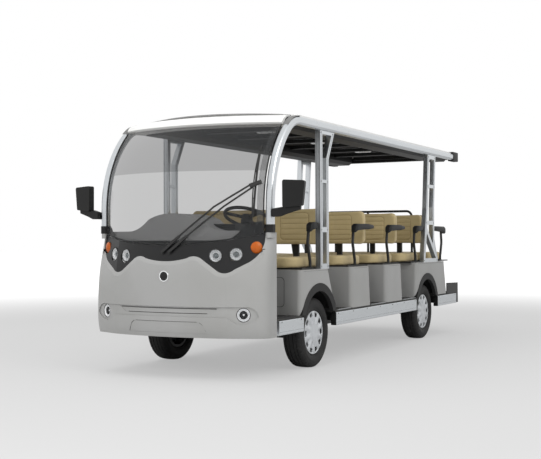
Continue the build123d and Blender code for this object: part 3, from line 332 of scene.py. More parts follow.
def make_finishes():
    """Every material of the vehicle, by the name of its record slot or its own."""
    tone = bpy.context.scene.bus_colours
    library.update({
        "frp_grey": sprayed_grp("sprayed_grp_grey", tone.body, "#939391", 0.42),
        "frp_white": sprayed_grp("sprayed_grp_white", tone.roof, "#D9D9D7", 0.32),
        "alu": anodised_aluminium("anodised_aluminium_length", tone.metal, "y"),
        "alu_post": anodised_aluminium("anodised_aluminium_upright", tone.metal, "z"),
        "black_gloss": gloss_acrylic("gloss_acrylic_black", "#0D0D0E", "#111112"),
        "black_matte": moulded_abs("moulded_abs_black", "#101010", "#141413", 0.5, 4 * MM),
        "flare": moulded_abs("moulded_pp_flare", "#1D1D1D", "#222221", 0.6, 6 * MM),
        "seal": ribbed_rubber("epdm_seal", "#1C1C1C", "#232322", "Z"),
        "print": gloss_acrylic("ceramic_print_black", "#161616", "#1A1A1A"),
        "side_print": clear_polycarbonate("ceramic_print_grey", "#6C6E6F", 0.5),
        "bar_black": powder_coated_steel("powder_coated_bar", "#1B1B1B", "#222221"),
        "mirror": chrome_plate("silvered_glass", "#DDE1E4", 1.0, 0.03),
        "liner": moulded_abs("felted_headliner", "#0E0E0E", "#141413", 0.9, 6 * MM),
        # dark grey strips under the bumper ledge: painted shade where the ledge shadows the recess
        "ledge_shade": ribbed_rubber("painted_ledge_shade", "#4B4B4A", "#525251", "X"),
        "edge_grey": ribbed_rubber("epdm_edge_trim", "#6A6A69", "#727271", "X"),
        "gap_shade": moulded_abs("panel_gap_shade", "#4E4E4D", "#464645", 0.8, 4 * MM, 0.05),
        "bezel": moulded_abs("moulded_abs_bezel", "#2A2A2A", "#303030", 0.38, 4 * MM, 0.1),
        "dash_grey": moulded_abs("moulded_abs_grey", "#A6A6A6", "#ABABAA", 0.58, 6 * MM),
        "chassis_paint": powder_coated_steel("powder_coated_steel_black", "#161616", "#1E1D1C"),
        "support_paint": powder_coated_steel("powder_coated_tube_black", "#151515", "#1B1B1A"),
        "battery_case": powder_coated_steel("powder_coated_case_grey", "#4B4C4E", "#54534F"),
        "deck_mat": ribbed_rubber("ribbed_rubber_mat", "#262626", "#33322F", "X"),
        "vinyl_beige": leathercloth("leathercloth_beige", tone.seats, "#BAA87D"),
        "thread": leathercloth("stitching_thread", "#8F7A4C", "#867146"),
        "tyre": tyre_rubber("tyre_rubber", "#1A1A1A", "#252423"),
        "wheel_silver": lacquered_silver("lacquered_abs_silver", "#C9CCCF", "#BDC0C3"),
        "lamp_chrome": chrome_plate("chromed_reflector", "#F2F3F4", 0.55, 0.28),
        "chrome": chrome_plate("chromed_trim", "#F0F1F2", 0.8, 0.14),
        "rim_paint": powder_coated_steel("powder_coated_rim", "#3A3B3C", "#434343"),
        # dark grey discs in the wheel cover's recesses: painted shade
        "dimple": moulded_abs("recess_painted_shade", "#55585A", "#4C4F51", 0.5, 4 * MM, 0.1),
        "optic": clear_polycarbonate("clear_polycarbonate_optic", "#A9B2B6", 0.30),
        "zinc": zinc_plate("zinc_plated_steel", "#A9ABAC", "#979996"),
        "lamp_glass": clear_polycarbonate("clear_polycarbonate", "#6E7274", 0.10),
        "amber": tinted_lens("amber_acrylic", tone.amber, "#B45C16"),
        "red_lens": tinted_lens("red_acrylic", "#9E1B16", "#B3261C"),
        "screen_glass": laminated_glass(
            "laminated_glass", "#363738", "#333435", 0.275, 0.395, 1.560, 1.566),
    })


# CAD nodes that take another finish than the one of their record slot
CAD_FINISH = {
    "b_pillars": "alu_post", "rear_pillars": "alu_post", "wheel_houses": "flare",
    "seat_supports": "support_paint", "rear_handrail": "support_paint",
}


class BUS_OT_finishes(bpy.types.Operator):
    """Give every CAD part that stays in view its real finish."""

    bl_idname = "bus.finishes"
    bl_label = "Finish the frame"

    def execute(self, context):
        make_finishes()
        slots = {part["node"]: part["material_slot"] for part in frame["record"]["subparts"]}
        for node, part in frame["nodes"].items():
            material = library[CAD_FINISH.get(node, slots[node])]
            part.data.materials.clear()
            part.data.materials.append(material)
        return {"FINISHED"}


# Building blocks


def new_shapes(count):
    """Empty meshes, one for each piece that an operator builds."""
    return [bmesh.new() for _ in range(count)]


def make_piece(name, shape, finish, body=BODY, stands_for=(), crease=32):
    """Object from a bmesh, with its finish, on the body that it moves with."""
    mesh = bpy.data.meshes.new(name)
    bmesh.ops.recalc_face_normals(shape, faces=shape.faces)
    shape.to_mesh(mesh)
    shape.free()
    mesh.materials.append(library[finish])
    for face in mesh.polygons:
        face.use_smooth = True
    mesh.set_sharp_from_angle(angle=radians(crease))
    piece = bpy.data.objects.new(name, mesh)
    bpy.context.scene.collection.objects.link(piece)
    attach(piece, body)
    if stands_for:
        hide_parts(*stands_for)


def on_circle(radius, angle, height=0.0):
    return Vector((radius * cos(angle), radius * sin(angle), height))


def strip(shape, rows, closed=False, capped=False):
    """Faces between rows of points of equal length."""
    grid = [[shape.verts.new(point) for point in row] for row in rows]
    for a, b in zip(grid, grid[1:]):
        count = len(a)
        for j in range(count if closed else count - 1):
            shape.faces.new([a[j], a[(j + 1) % count], b[(j + 1) % count], b[j]])
    if capped:
        shape.faces.new(grid[0][::-1])
        shape.faces.new(grid[-1])
    return grid


def turned(shape, profile, spot, steps=32):
    """Profile of (radius, height) points turned about the Z axis of a placement matrix."""
    rings = [
        [shape.verts.new(spot @ on_circle(radius, 2 * pi * i / steps, height)) for radius, height in profile]
        for i in range(steps)
    ]
    for i in range(steps):
        a, b = rings[i], rings[(i + 1) % steps]
        for j in range(len(profile) - 1):
            corners = [a[j], b[j], b[j + 1], a[j + 1]]
            if profile[j][0] < 1e-9:
                del corners[1]
            elif profile[j + 1][0] < 1e-9:
                del corners[2]
            shape.faces.new(corners)


def swept(shape, path, section, up=UP, ends=True, scales=None):
    """Closed section of (side, up) points carried along a path, kept upright."""
    path = [Vector(p) for p in path]
    rings = []
    for i, point in enumerate(path):
        ahead = (path[min(i + 1, len(path) - 1)] - path[max(i - 1, 0)]).normalized()
        side = ahead.cross(up).normalized()
        rise = side.cross(ahead)
        wide, high = scales[i] if scales else (1, 1)
        rings.append([point + side * x * wide + rise * y * high for x, y in section])
    strip(shape, rings, closed=True, capped=ends)


def circle(radius, steps=12):
    return [on_circle(radius, 2 * pi * i / steps).xy for i in range(steps)]


def round_box(half_x, half_y, radius, steps=4):
    """Rectangle with rounded corners, as points."""
    points = []
    for sx, sy, start in ((1, 1, 0), (-1, 1, 90), (-1, -1, 180), (1, -1, 270)):
        centre = Vector((sx * (half_x - radius), sy * (half_y - radius)))
        points += [centre + on_circle(radius, radians(start + 90 * i / steps)).xy for i in range(steps + 1)]
    return points


def rounded(corners, radius):
    """Polygon with its corners rounded, as points."""
    points = []
    corners = [Vector(corner) for corner in corners]
    for a, b, c in zip(corners[-1:] + corners, corners, corners[1:] + corners[:1]):
        points += bend(b + (a - b).normalized() * radius, b, b + (c - b).normalized() * radius, 5)
    return points


def bend(start, corner, end, steps):
    """Points of a curve from start to end that leans to a corner."""
    shares = [i / steps for i in range(steps + 1)]
    return [start * (1 - t) ** 2 + corner * 2 * t * (1 - t) + end * t ** 2 for t in shares]


def centre_of(outline):
    return sum((Vector(point) for point in outline), Vector((0, 0))) / len(outline)


def plate(shape, outline, spot, depth, bevel=0.0):
    """Outline of (x, y) points raised along the Z axis of a placement, with a chamfered top edge."""
    levels = [(0, 0.0), (depth - bevel, 0.0), (depth, bevel)] if bevel else [(0, 0.0), (depth, 0.0)]
    middle = centre_of(outline)
    rings = []
    for height, inset in levels:
        ring = []
        for point in outline:
            away = Vector(point) - middle
            near = middle + away * max(0.0, 1 - inset / away.length)
            ring.append(spot @ Vector((near.x, near.y, height)))
        rings.append(ring)
    strip(shape, rings, closed=True, capped=True)


def block(shape, one, other, bevel=0.0):
    """Box between two opposite corners, bevelled if asked."""
    low, high = (Vector([pick(pair) for pair in zip(one, other)]) for pick in (min, max))
    part = bmesh.new()
    bmesh.ops.create_cube(part, size=1.0)
    for vert in part.verts:
        vert.co = (high - low) * vert.co + (high + low) / 2
    if bevel:
        bmesh.ops.bevel(part, geom=part.edges[:], offset=bevel, segments=2, profile=0.7, affect="EDGES")
    made = {vert: shape.verts.new(vert.co) for vert in part.verts}
    for face in part.faces:
        shape.faces.new([made[vert] for vert in face.verts])
    part.free()


def frame_of(place, side, rise, out):
    """Placement with the given axes."""
    matrix = Matrix((side, rise, out)).transposed().to_4x4()
    matrix.translation = Vector(place)
    return matrix


def spot_at(place, out, up=UP):
    """Placement whose Z axis points out and whose Y axis leans to up."""
    out = Vector(out).normalized()
    side = up.cross(out).normalized()
    return frame_of(place, side, out.cross(side), out)


def bolt(shape, place, out, size=0.008, dome=True):
    """Dome or hexagon head with a washer."""
    spot = spot_at(place, out)
    turned(shape, [(0, 0.0018), (size * 1.5, 0.0018), (size * 1.5, 0), (size * 1.2, -0.0004)], spot, 16)
    if dome:
        head = [(0, size * 0.55), (size * 0.5, size * 0.48), (size * 0.88, size * 0.25), (size, 0.0018)]
    else:
        head = [(0, size * 0.7), (size * 0.9, size * 0.7), (size, size * 0.6), (size, 0.0018)]
    turned(shape, head, spot, 12 if dome else 6)


def arc_points(start, middle, end, steps):
    """Points on the circle through three points of a plane."""
    (ax, ay), (bx, by), (cx, cy) = start, middle, end
    a, b, c = ax * ax + ay * ay, bx * bx + by * by, cx * cx + cy * cy
    d = 2 * (ax * (by - cy) + bx * (cy - ay) + cx * (ay - by))
    ux = (a * (by - cy) + b * (cy - ay) + c * (ay - by)) / d
    uy = (a * (cx - bx) + b * (ax - cx) + c * (bx - ax)) / d
    radius = hypot(ax - ux, ay - uy)
    first, second, last = (atan2(y - uy, x - ux) for x, y in (start, middle, end))
    turn = (last - first) % (2 * pi)
    if (second - first) % (2 * pi) > turn:
        turn -= 2 * pi
    angles = [first + turn * i / steps for i in range(steps + 1)]
    return [(ux + radius * cos(angle), uy + radius * sin(angle)) for angle in angles]


def tree_of(node):
    """Search tree over the faces of a CAD node."""
    return tree_over(frame["nodes"][node].data)


def tree_over(mesh):
    places = [vert.co for vert in mesh.vertices]
    return BVHTree.FromPolygons(places, [face.vertices for face in mesh.polygons])


def from_front(tree, x, z):
    """Where a line from the front, at a place across and up, first meets a part."""
    return tree.ray_cast(Vector((x, -3.0, z)), BACK)[0]


def smooth_step(edge, spread, value):
    """0 below edge - spread, 1 above edge + spread, smooth between."""
    share = min(1.0, max(0.0, (value - edge + spread) / (2 * spread)))
    return share * share * (3 - 2 * share)


# Seats


# stations of the four forward benches and of the rearward one
ROWS = [at(-0.025), at(0.920), at(1.765), at(2.560)]
REAR_ROW = at(3.430)
INSET = 0.006
CUSHION_TOP, CUSHION_END = 0.905, 0.280
BACK_FRONT, BACK_FOOT, BACK_HEAD = 0.345, 0.993, 1.318
PANEL_Z, PANEL_HALF_Z = 1.160, 0.115
PRESSURE, SWELL, FRAMES = 3.0, 0.008, 16


def panel_distance(x, z, sizes):
    """Signed distance to the outline of a rounded panel, negative inside."""
    dx = abs(x) - sizes.panel_width / 2 + sizes.panel_round
    dz = abs(z) - PANEL_HALF_Z + sizes.panel_round
    return hypot(max(dx, 0), max(dz, 0)) + min(max(dx, dz), 0) - sizes.panel_round


def add_modifier(piece, name, kind, **settings):
    made = piece.modifiers.new(name, kind)
    for key, value in settings.items():
        setattr(made, key, value)
    return made


def foam(name, low, high, corners, voxel):
    """Stuffed block: remeshed, blown up as cloth over a firm core, then cut back to its cover."""
    outline = bmesh.new()
    block(outline, low, high)
    for picks, amount in corners:
        picked = [edge for edge in outline.edges if picks(edge)]
        bmesh.ops.bevel(outline, geom=picked, offset=amount, segments=6, profile=0.5, affect="EDGES")
    mesh = bpy.data.meshes.new(name)
    outline.to_mesh(mesh)
    outline.free()
    piece = bpy.data.objects.new(name, mesh)
    bpy.context.scene.collection.objects.link(piece)
    bpy.context.view_layer.objects.active = piece
    piece.select_set(True)
    add_modifier(piece, "skin", "REMESH", mode="VOXEL", voxel_size=voxel)
    add_modifier(piece, "rounding", "SMOOTH", factor=0.6, iterations=5)
    for modifier in ("skin", "rounding"):
        bpy.ops.object.modifier_apply(modifier=modifier)
    blow_up(piece)
    piece.select_set(False)
    return piece


def blow_up(piece):
    """Short cloth run with inner pressure; no point moves further than the cover lets it."""
    blown = piece.modifiers.new("blown", "CLOTH")
    for key, value in (
        ("use_pressure", True), ("uniform_pressure_force", PRESSURE), ("tension_stiffness", 60),
        ("compression_stiffness", 30), ("bending_stiffness", 4),
    ):
        setattr(blown.settings, key, value)
    blown.settings.effector_weights.gravity = 0.0
    blown.point_cache.frame_start = 1
    blown.point_cache.frame_end = FRAMES
    for step in range(1, FRAMES + 1):
        bpy.context.scene.frame_set(step)
    shown = piece.evaluated_get(bpy.context.evaluated_depsgraph_get())
    moved = [vert.co.copy() for vert in shown.data.vertices]
    piece.modifiers.remove(blown)
    bpy.context.scene.frame_set(1)
    for vert, there in zip(piece.data.vertices, moved):
        shift = there - vert.co
        if shift.length > SWELL:
            shift *= SWELL / shift.length
        vert.co += shift


def along(edge, axis):
    return abs((edge.verts[0].co - edge.verts[1].co).normalized()[axis]) > 0.9


def make_cushion(low, high, station, sizes):
    end = station + CUSHION_END
    cushion = foam(
        "seat_cushion_1",
        (low.x + INSET, low.y + INSET, low.z), (high.x - INSET, end - 0.004, CUSHION_TOP - INSET),
        [(lambda e: along(e, 2) and e.verts[0].co.y < station, 0.10),
         (lambda e: along(e, 2) and e.verts[0].co.y > station + 0.2, 0.04)],
        sizes.voxel,
    )
    for vert in cushion.data.vertices:
        vert.co.z = min(vert.co.z, CUSHION_TOP - 0.0058)
        x, y, z = vert.co
        # crown of the top, softer over each of the three places
        edge = min(0.66 - abs(x), y - low.y, end - y)
        if z > CUSHION_TOP - 0.04:
            places = cos(x * 2 * pi / 0.44) * smooth_step(0.06, 0.04, edge)
            vert.co.z += 0.005 * smooth_step(0.05, 0.05, edge) - 0.0035 * places
        vert.co.z = max(min(vert.co.z, CUSHION_TOP - 0.0005), low.z + CLOSE)
    return cushion


def make_backrest(low, high, front, sizes):
    back = foam(
        "seat_back_1",
        (low.x + INSET, front + INSET, BACK_FOOT + 0.004), (high.x - INSET, front + 0.066, BACK_HEAD - 0.004),
        [(lambda e: along(e, 1), 0.055)], sizes.voxel,
    )
    add_modifier(back, "finer", "SUBSURF", levels=1)
    bpy.context.view_layer.objects.active = back
    bpy.ops.object.modifier_apply(modifier="finer")
    pitch = 2 * PANEL_HALF_Z / (sizes.channels + 1)
    for vert in back.data.vertices:
        vert.co.y = max(vert.co.y, front + 0.0024)
        x, y, z = vert.co
        if y < front + 0.035:
            offset = min((x - c for c in (-sizes.panel_pitch, 0, sizes.panel_pitch)), key=abs)
            away = panel_distance(offset, z - PANEL_Z, sizes)
            pull = sizes.seam_depth * max(0.0, 1 - (away / 0.009) ** 2)
            if away < 0:
                line = (z - PANEL_Z + PANEL_HALF_Z) / pitch
                near = abs(line - round(line)) * pitch
                if 0 < round(line) <= sizes.channels:
                    pull = max(pull, 0.6 * sizes.seam_depth * max(0.0, 1 - (near / 0.007) ** 2))
                vert.co.y -= 0.0012 * min(1.0, -away / 0.02) * abs(sin(pi * line))
            vert.co.y += pull
        vert.co.y = max(vert.co.y, front + CLOSE)
    return back


class BUS_OT_seats(bpy.types.Operator):
    """Five benches: a foam cushion and a sewn backrest each."""

    bl_idname = "bus.seats"
    bl_label = "Sew the seats"

    def execute(self, context):
        sizes = context.scene.bus_seats
        low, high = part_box("seat_row_1")
        first = ROWS[0]
        cushion = make_cushion(low, high, first, sizes)
        back = make_backrest(low, high, first + BACK_FRONT, sizes)
        pairs = [(cushion, "cushion"), (back, "back")]
        for piece, _ in pairs:
            piece.data.materials.append(library["vinyl_beige"])
            for face in piece.data.polygons:
                face.use_smooth = True
        cover = tree_over(back.data)
        turns = [Matrix.Translation((0, station, 0)) for station in ROWS]
        turns.append(Matrix.Translation((0, REAR_ROW, 0)) @ Matrix.Rotation(pi, 4, "Z"))
        for row, turn in enumerate(turns, 1):
            for piece, part in pairs:
                seat = piece
                if row > 1:
                    seat = bpy.data.objects.new(f"seat_{part}_{row}", piece.data.copy())
                    context.scene.collection.objects.link(seat)
                    seat.data.transform(turn @ Matrix.Translation((0, -first, 0)))
                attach(seat, BODY)
                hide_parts(f"seat_row_{row}")
            sew(row, turn, sizes, cover)
        return {"FINISHED"}


def sew(row, turn, sizes, cover):
    """Thread in the seams of one backrest, laid on its cover."""
    thread = bmesh.new()

    def laid(x, z):
        hit = cover.ray_cast(Vector((x, ROWS[0], z)), BACK)[0]
        return turn @ Vector((x, hit.y - ROWS[0] - 0.0003, z))

    for centre in (-sizes.panel_pitch, 0, sizes.panel_pitch):
        outline = [
            laid(centre + x, PANEL_Z + z)
            for x, z in round_box(sizes.panel_width / 2, PANEL_HALF_Z, sizes.panel_round, 5)
        ]
        swept(thread, outline + outline[:1], circle(0.0016, 4), BACK, ends=False)
        reach = sizes.panel_width / 2 - 0.002
        for i in range(1, sizes.channels + 1):
            z = PANEL_Z - PANEL_HALF_Z + 2 * PANEL_HALF_Z * i / (sizes.channels + 1)
            swept(thread, [laid(centre + reach * k / 6, z) for k in range(-6, 7)], circle(0.0013, 4))
    make_piece(f"seat_thread_{row}", thread, "thread")


# Armrests


# bench station, way the pad points, length of the pad behind its post
ARMRESTS = [
    (ROWS[0], 1, 0.062), (ROWS[1], 1, 0.370), (ROWS[2], 1, 0.370), (ROWS[3], 1, 0.126),
    (at(3.390), -1, 0.375),
]
ARM_X, PAD_X, ARM_FOOT_SHIFT = 0.702, 0.721, 0.0125


def pad_keys(end):
    """Sections of a pad that thins towards its tail: station, half width, height, half height."""
    keys = [
        (-0.0695, 0.012, 1.118, 0.009), (-0.066, 0.022, 1.128, 0.021), (-0.052, 0.029, 1.142, 0.033),
        (-0.022, 0.0325, 1.155, 0.0315),
    ]
    if end < 0.2:
        return keys + [
            (end - 0.014, 0.0325, 1.161, 0.0265), (end - 0.004, 0.028, 1.161, 0.021),
            (end, 0.018, 1.161, 0.014),
        ]
    return keys + [
        (0.16, 0.0325, 1.161, 0.0265), (0.24, 0.0325, 1.161, 0.0265), (end - 0.02, 0.029, 1.161, 0.0155),
        (end, 0.018, 1.161, 0.009),
    ]


def bent(corners, radius):
    """Centre line of a tube bent with one radius at each corner."""
    corners = [Vector(corner) for corner in corners]
    points = corners[:1]
    for a, b, c in zip(corners, corners[1:], corners[2:]):
        before, after = a - b, c - b
        half = before.angle(after) / 2
        reach = min(
            radius / max(0.05, abs(sin(half) / cos(half))), before.length * 0.45, after.length * 0.45
        )
        points += bend(b + before.normalized() * reach, b, b + after.normalized() * reach, 6)
    return points + corners[-1:]


class BUS_OT_armrests(bpy.types.Operator):
    """Bent tubes with moulded pads, bolted to the boards."""

    bl_idname = "bus.armrests"
    bl_label = "Fit the armrests"

    def execute(self, context):
        tubes, pads, bolts = new_shapes(3)
        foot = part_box("armrests")[0].z
        bends = bent([(0, foot), (0, 0.86), (-0.048, 1.01), (-0.025, 1.14)], 0.09)
        for station, facing, end in ARMRESTS:
            for hand in HANDS:
                x = hand * ARM_X
                base = x - hand * ARM_FOOT_SHIFT
                swept(tubes, [(x, station + facing * y, z) for y, z in bends], circle(0.013, 14), ACROSS)
                turned(
                    tubes, [(0.013, 0.010), (0.0215, 0.008), (0.0265, 0.003), (0.0265, 0)],
                    spot_at((base, station, foot), UP, BACK), 20,
                )
                for shift in (-0.026, 0.026):
                    bolt(bolts, (base, station + shift, foot + 0.001), UP, 0.0042, dome=False)
                rows = [
                    [Vector((hand * PAD_X + px, station + facing * y, z + pz))
                     for px, pz in round_box(half_x, half_z, min(half_x, half_z) * 0.62, 4)]
                    for y, half_x, z, half_z in pad_keys(end)
                ]
                strip(pads, rows, closed=True, capped=True)
        make_piece("armrest_tubes", tubes, "support_paint", stands_for=("armrests",))
        make_piece("armrest_pads", pads, "black_matte", crease=45)
        make_piece("armrest_bolts", bolts, "zinc")
        return {"FINISHED"}


# Lamps, mask and badge


# x, station from the front axle, height, turn to the side in degrees
HEADLAMPS = [(0.402, -1.037, 0.926, 17), (0.546, -0.981, 0.936, 27)]
TURN_LAMP = (0.672, -0.895, 0.986, 32)
FOG_LAMP = (0.612, -0.990, 0.489, 24)

# Lower edge of the lamp mask from its end to the middle, as three arcs joined by lines
MASK_EDGE = [
    ((0.728, 1.040), (0.706, 0.952), (0.640, 0.876)),
    ((0.545, 0.821), (0.480, 0.794), (0.420, 0.813)),
    ((0.310, 0.893), (0.250, 0.919), (0.185, 0.905)),
]

# Turned parts of each lamp: piece, steps round, profile of (radius, height)
HEADLAMP_PARTS = [
    ("bezels", 48, [
        (0.0538, -0.012), (0.0538, 0.0035), (0.0525, 0.0056), (0.0500, 0.0060), (0.0478, 0.0045),
        (0.0470, 0.000), (0.0462, -0.006)]),
    ("rings", 48, [(0.0462, -0.004), (0.0458, 0.0000), (0.0440, 0.0008), (0.0425, -0.001), (0.0418, -0.006)]),
    ("bowls", 48, [
        (0.0420, -0.004), (0.0400, -0.008), (0.0365, -0.015), (0.0310, -0.023), (0.0240, -0.030),
        (0.0200, -0.033), (0, -0.034)]),
    ("rings", 40, [
        (0.0275, -0.030), (0.0275, -0.010), (0.0262, -0.0075), (0.0235, -0.007), (0.0215, -0.009),
        (0.0205, -0.016)]),
    ("dark", 32, [(0.0206, -0.022), (0.0206, -0.016), (0, -0.019)]),
    ("glass", 32, [(0.0203, -0.015), (0.0185, -0.0095), (0.0150, -0.0060), (0.0095, -0.0035), (0, -0.0025)]),
]
FOG_LAMP_PARTS = [
    ("bezels", 48, [(0.0530, -0.012), (0.0530, 0.003), (0.0518, 0.0052), (0.0500, 0.0052), (0.0480, 0.0030)]),
    ("rings", 48, [(0.0481, 0.0030), (0.0465, 0.0034), (0.0440, 0.000), (0.0405, -0.008), (0.0360, -0.010)]),
    ("rings", 48, [
        (0.0370, -0.010), (0.0365, -0.003), (0.0345, -0.0005), (0.0320, -0.0015), (0.0308, -0.008)]),
    ("dark", 40, [
        (0.0310, -0.006), (0.0290, -0.012), (0.0240, -0.020), (0.0165, -0.027), (0.0100, -0.030),
        (0, -0.031)]),
    ("rings", 24, [(0.0085, -0.030), (0.0085, -0.014), (0.0060, -0.011), (0, -0.0105)]),
    ("fog_glass", 40, [(0.0312, -0.004), (0.0270, -0.001), (0.0160, 0.0015), (0, 0.0025)]),
]
TURN_LAMP_PARTS = [("bezels", 40, [(0.0460, 0.0018), (0.0455, 0.0034), (0.0440, 0.0040), (0.0430, 0.0030)])]
LAMPS = [(lamp, HEADLAMP_PARTS) for lamp in HEADLAMPS]
LAMPS += [(FOG_LAMP, FOG_LAMP_PARTS), (TURN_LAMP, TURN_LAMP_PARTS)]


class BUS_OT_lamps(bpy.types.Operator):
    """Reflectors, bezels and rings of the front lamps, and the plain badge."""

    bl_idname = "bus.lamps"
    bl_label = "Fit the lamps"

    def execute(self, context):
        shapes = {part: bmesh.new() for part in ("bezels", "rings", "bowls", "dark", "glass", "fog_glass")}
        for hand in HANDS:
            for (x, y, z, turn), parts in LAMPS:
                out = (hand * sin(radians(turn)), -cos(radians(turn)), 0)
                for part, steps, profile in parts:
                    turned(shapes[part], profile, spot_at((hand * x, at(y), z), out), steps)
        make_piece("lamp_bezels", shapes["bezels"], "bezel", stands_for=("headlamps", "fog_lamps"), crease=40)
        make_piece("lamp_bowls", shapes["bowls"], "lamp_chrome", crease=60)
        make_piece("lamp_rings", shapes["rings"], "chrome", crease=50)
        make_piece("lamp_bulb_shades", shapes["dark"], "black_gloss")
        make_piece("lamp_optics", shapes["glass"], "optic", crease=60)
        make_piece("fog_lamp_optics", shapes["fog_glass"], "lamp_glass", crease=60)
        fit_badge()
        fit_mask_ledge()
        return {"FINISHED"}


def fit_badge():
    """Plain disc in a plain ring."""
    low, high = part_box("emblem_disc")
    spot = spot_at((0, high.y, (low.z + high.z) / 2), (0, -1, 0))
    ring, disc = new_shapes(2)
    turned(ring, [
        (0.0425, 0.000), (0.0422, 0.0018), (0.0405, 0.0033), (0.0380, 0.0037), (0.0355, 0.0033),
        (0.0335, 0.0018), (0.0332, 0.0008),
    ], spot, 48)
    turned(disc, [(0.0334, 0.0012), (0.0250, 0.0016), (0, 0.0019)], spot, 48)
    make_piece("badge_ring", ring, "chrome", crease=60)
    make_piece("badge_disc", disc, "black_gloss", stands_for=("emblem_disc",))


def mask_line():
    """Lower edge of the lamp mask from one end to the other."""
    half = []
    for i, arc in enumerate(MASK_EDGE):
        points = arc_points(*arc, 14)
        if i:
            start, end = Vector(half[-1]), Vector(points[0])
            half += [tuple(start.lerp(end, k / 6)) for k in range(1, 6)]
        half += points
    x, z = MASK_EDGE[2][2]
    middle = arc_points((x, z), (0, 0.882), (-x, z), 20)
    line = half + middle[1:-1] + [(-x, z) for x, z in reversed(half)]
    return [Vector(point) for point in line if point[1] < 1.000]


def fit_mask_ledge():
    """Chamfer of the cowl that runs down to the mask along its lower edge."""
    line = mask_line()
    cowl, mask = tree_of("front_cowl"), tree_of("lamp_mask")
    rows = [[], [], [], []]
    for i, point in enumerate(line):
        ahead = line[min(i + 1, len(line) - 1)] - line[max(i - 1, 0)]
        out = Vector((ahead.y, -ahead.x)).normalized()
        inwards = out.y > 0 if abs(point.x) < 0.6 else out.x * point.x < 0
        if inwards:
            out = -out
        top = None
        for reach in (0.0295, 0.033, 0.037, 0.042, 0.048):
            top = top or from_front(cowl, *(point + out * reach))
        deep = from_front(mask, *(point - out * 0.002))
        if top is None or deep is None:
            continue
        deep.y -= 0.0006
        if deep.y - top.y < 0.002:
            continue
        for row, share, proud in zip(rows, (0, 0.12, 0.9, 1), (0.0002, 0.0006, 0.0004, 0)):
            row.append(top.lerp(deep, share) - BACK * proud)
    shape = bmesh.new()
    strip(shape, rows)
    make_piece("mask_ledge", shape, "frp_grey", crease=60)


# Wheels


WHEELS = ("front_left", "front_right", "rear_left", "rear_right")
WINDOWS, WINDOW_RADIUS = 10, 0.1465
TYRE_RADIUS = 0.286
# sidewall of the tyre from bead to shoulder, as (radius, distance from the middle)
SIDEWALL = [
    (0.1603, 0.0610), (0.1770, 0.0612), (0.1830, 0.0662), (0.1860, 0.0720), (0.1900, 0.0748),
    (0.1935, 0.0742), (0.1960, 0.0770), (0.2080, 0.0838), (0.2200, 0.0868), (0.2300, 0.0872),
    (0.2330, 0.0876), (0.2345, 0.0868), (0.2450, 0.0852), (0.2560, 0.0818), (0.2590, 0.0808),
    (0.2605, 0.0786), (0.2680, 0.0758), (0.2745, 0.0712), (0.2795, 0.0650), (0.2815, 0.0605),
]
RIM = [
    (0.0185, 0.0350), (0.0460, 0.0350), (0.0460, 0.0250), (0.1200, 0.0350), (0.1530, 0.0300),
    (0.1535, 0.0660), (0.1755, 0.0668), (0.1757, 0.0625), (0.1602, 0.0618), (0.1600, -0.0618),
    (0.1757, -0.0625), (0.1755, -0.0668), (0.1540, -0.0660), (0.1540, 0.0220), (0.1200, 0.0270),
    (0.0470, 0.0150), (0.0185, 0.0150),
]


def cover_height(radius, angle):
    """Outboard height of the wheel cover: a shallow dome with a valley at each window and a rib between."""
    dome = 0.0778 - 0.0075 * (radius / 0.176) ** 2.4
    swell = smooth_step(0.082, 0.016, radius) * (1 - smooth_step(0.166, 0.008, radius))
    return dome + swell * (-0.0034 - 0.0052 * cos(WINDOWS * angle))


class BUS_OT_wheels(bpy.types.Operator):
    """Tyres with tread and ribbed sidewalls, rims and ten-window covers."""

    bl_idname = "bus.wheels"
    bl_label = "Fit the wheels"

    def execute(self, context):
        for name in WHEELS:
            low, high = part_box("tyre_" + name)
            centre = (low + high) / 2
            spot = spot_at(centre, (1 if centre.x > 0 else -1, 0, 0))
            fit_tyre(name, spot)
            fit_cover(name, spot)
            rim = bmesh.new()
            turned(rim, RIM, spot, 72)
            make_piece("rim_" + name, rim, "rim_paint", "wheel_" + name, ("wheel_" + name,), crease=35)
            fit_cover_dimples(name, spot)
        return {"FINISHED"}


def fit_tyre(name, spot):
    """Ribbed sidewalls, and shoulder and rib blocks cut by cross grooves."""
    crown = []
    for edge, floor in ((0.0485, 0.0415), (0.0210, 0.0140)):
        for offset, drop in ((edge, 0.0), (edge - 0.0008, 0.006), (floor + 0.0008, 0.006), (floor, 0.0)):
            crown.append((TYRE_RADIUS - 0.0045 * (offset / 0.062) ** 2 - drop, offset))
    half = SIDEWALL + crown
    profile = half + [(TYRE_RADIUS - 0.0004, 0.0)] + [(r, -h) for r, h in reversed(half)]
    shape = bmesh.new()
    steps = 168
    rows = []
    for i in range(steps):
        row = []
        for radius, height in profile:
            if radius > 0.2720 and abs(height) > 0.0490 and (i + (2 if height > 0 else 0)) % 4 == 0:
                radius -= 0.0055
            elif radius > 0.2835 and 0.0215 < abs(height) < 0.0480 and (i + 1) % 4 == 0:
                radius -= 0.004
            row.append(spot @ on_circle(radius, 2 * pi * i / steps, height))
        rows.append(row)
    grid = strip(shape, rows)
    for j in range(len(profile) - 1):
        shape.faces.new([grid[-1][j], grid[-1][j + 1], grid[0][j + 1], grid[0][j]])
    make_piece("tread_" + name, shape, "tyre", "wheel_" + name, ("tyre_" + name,), crease=26)


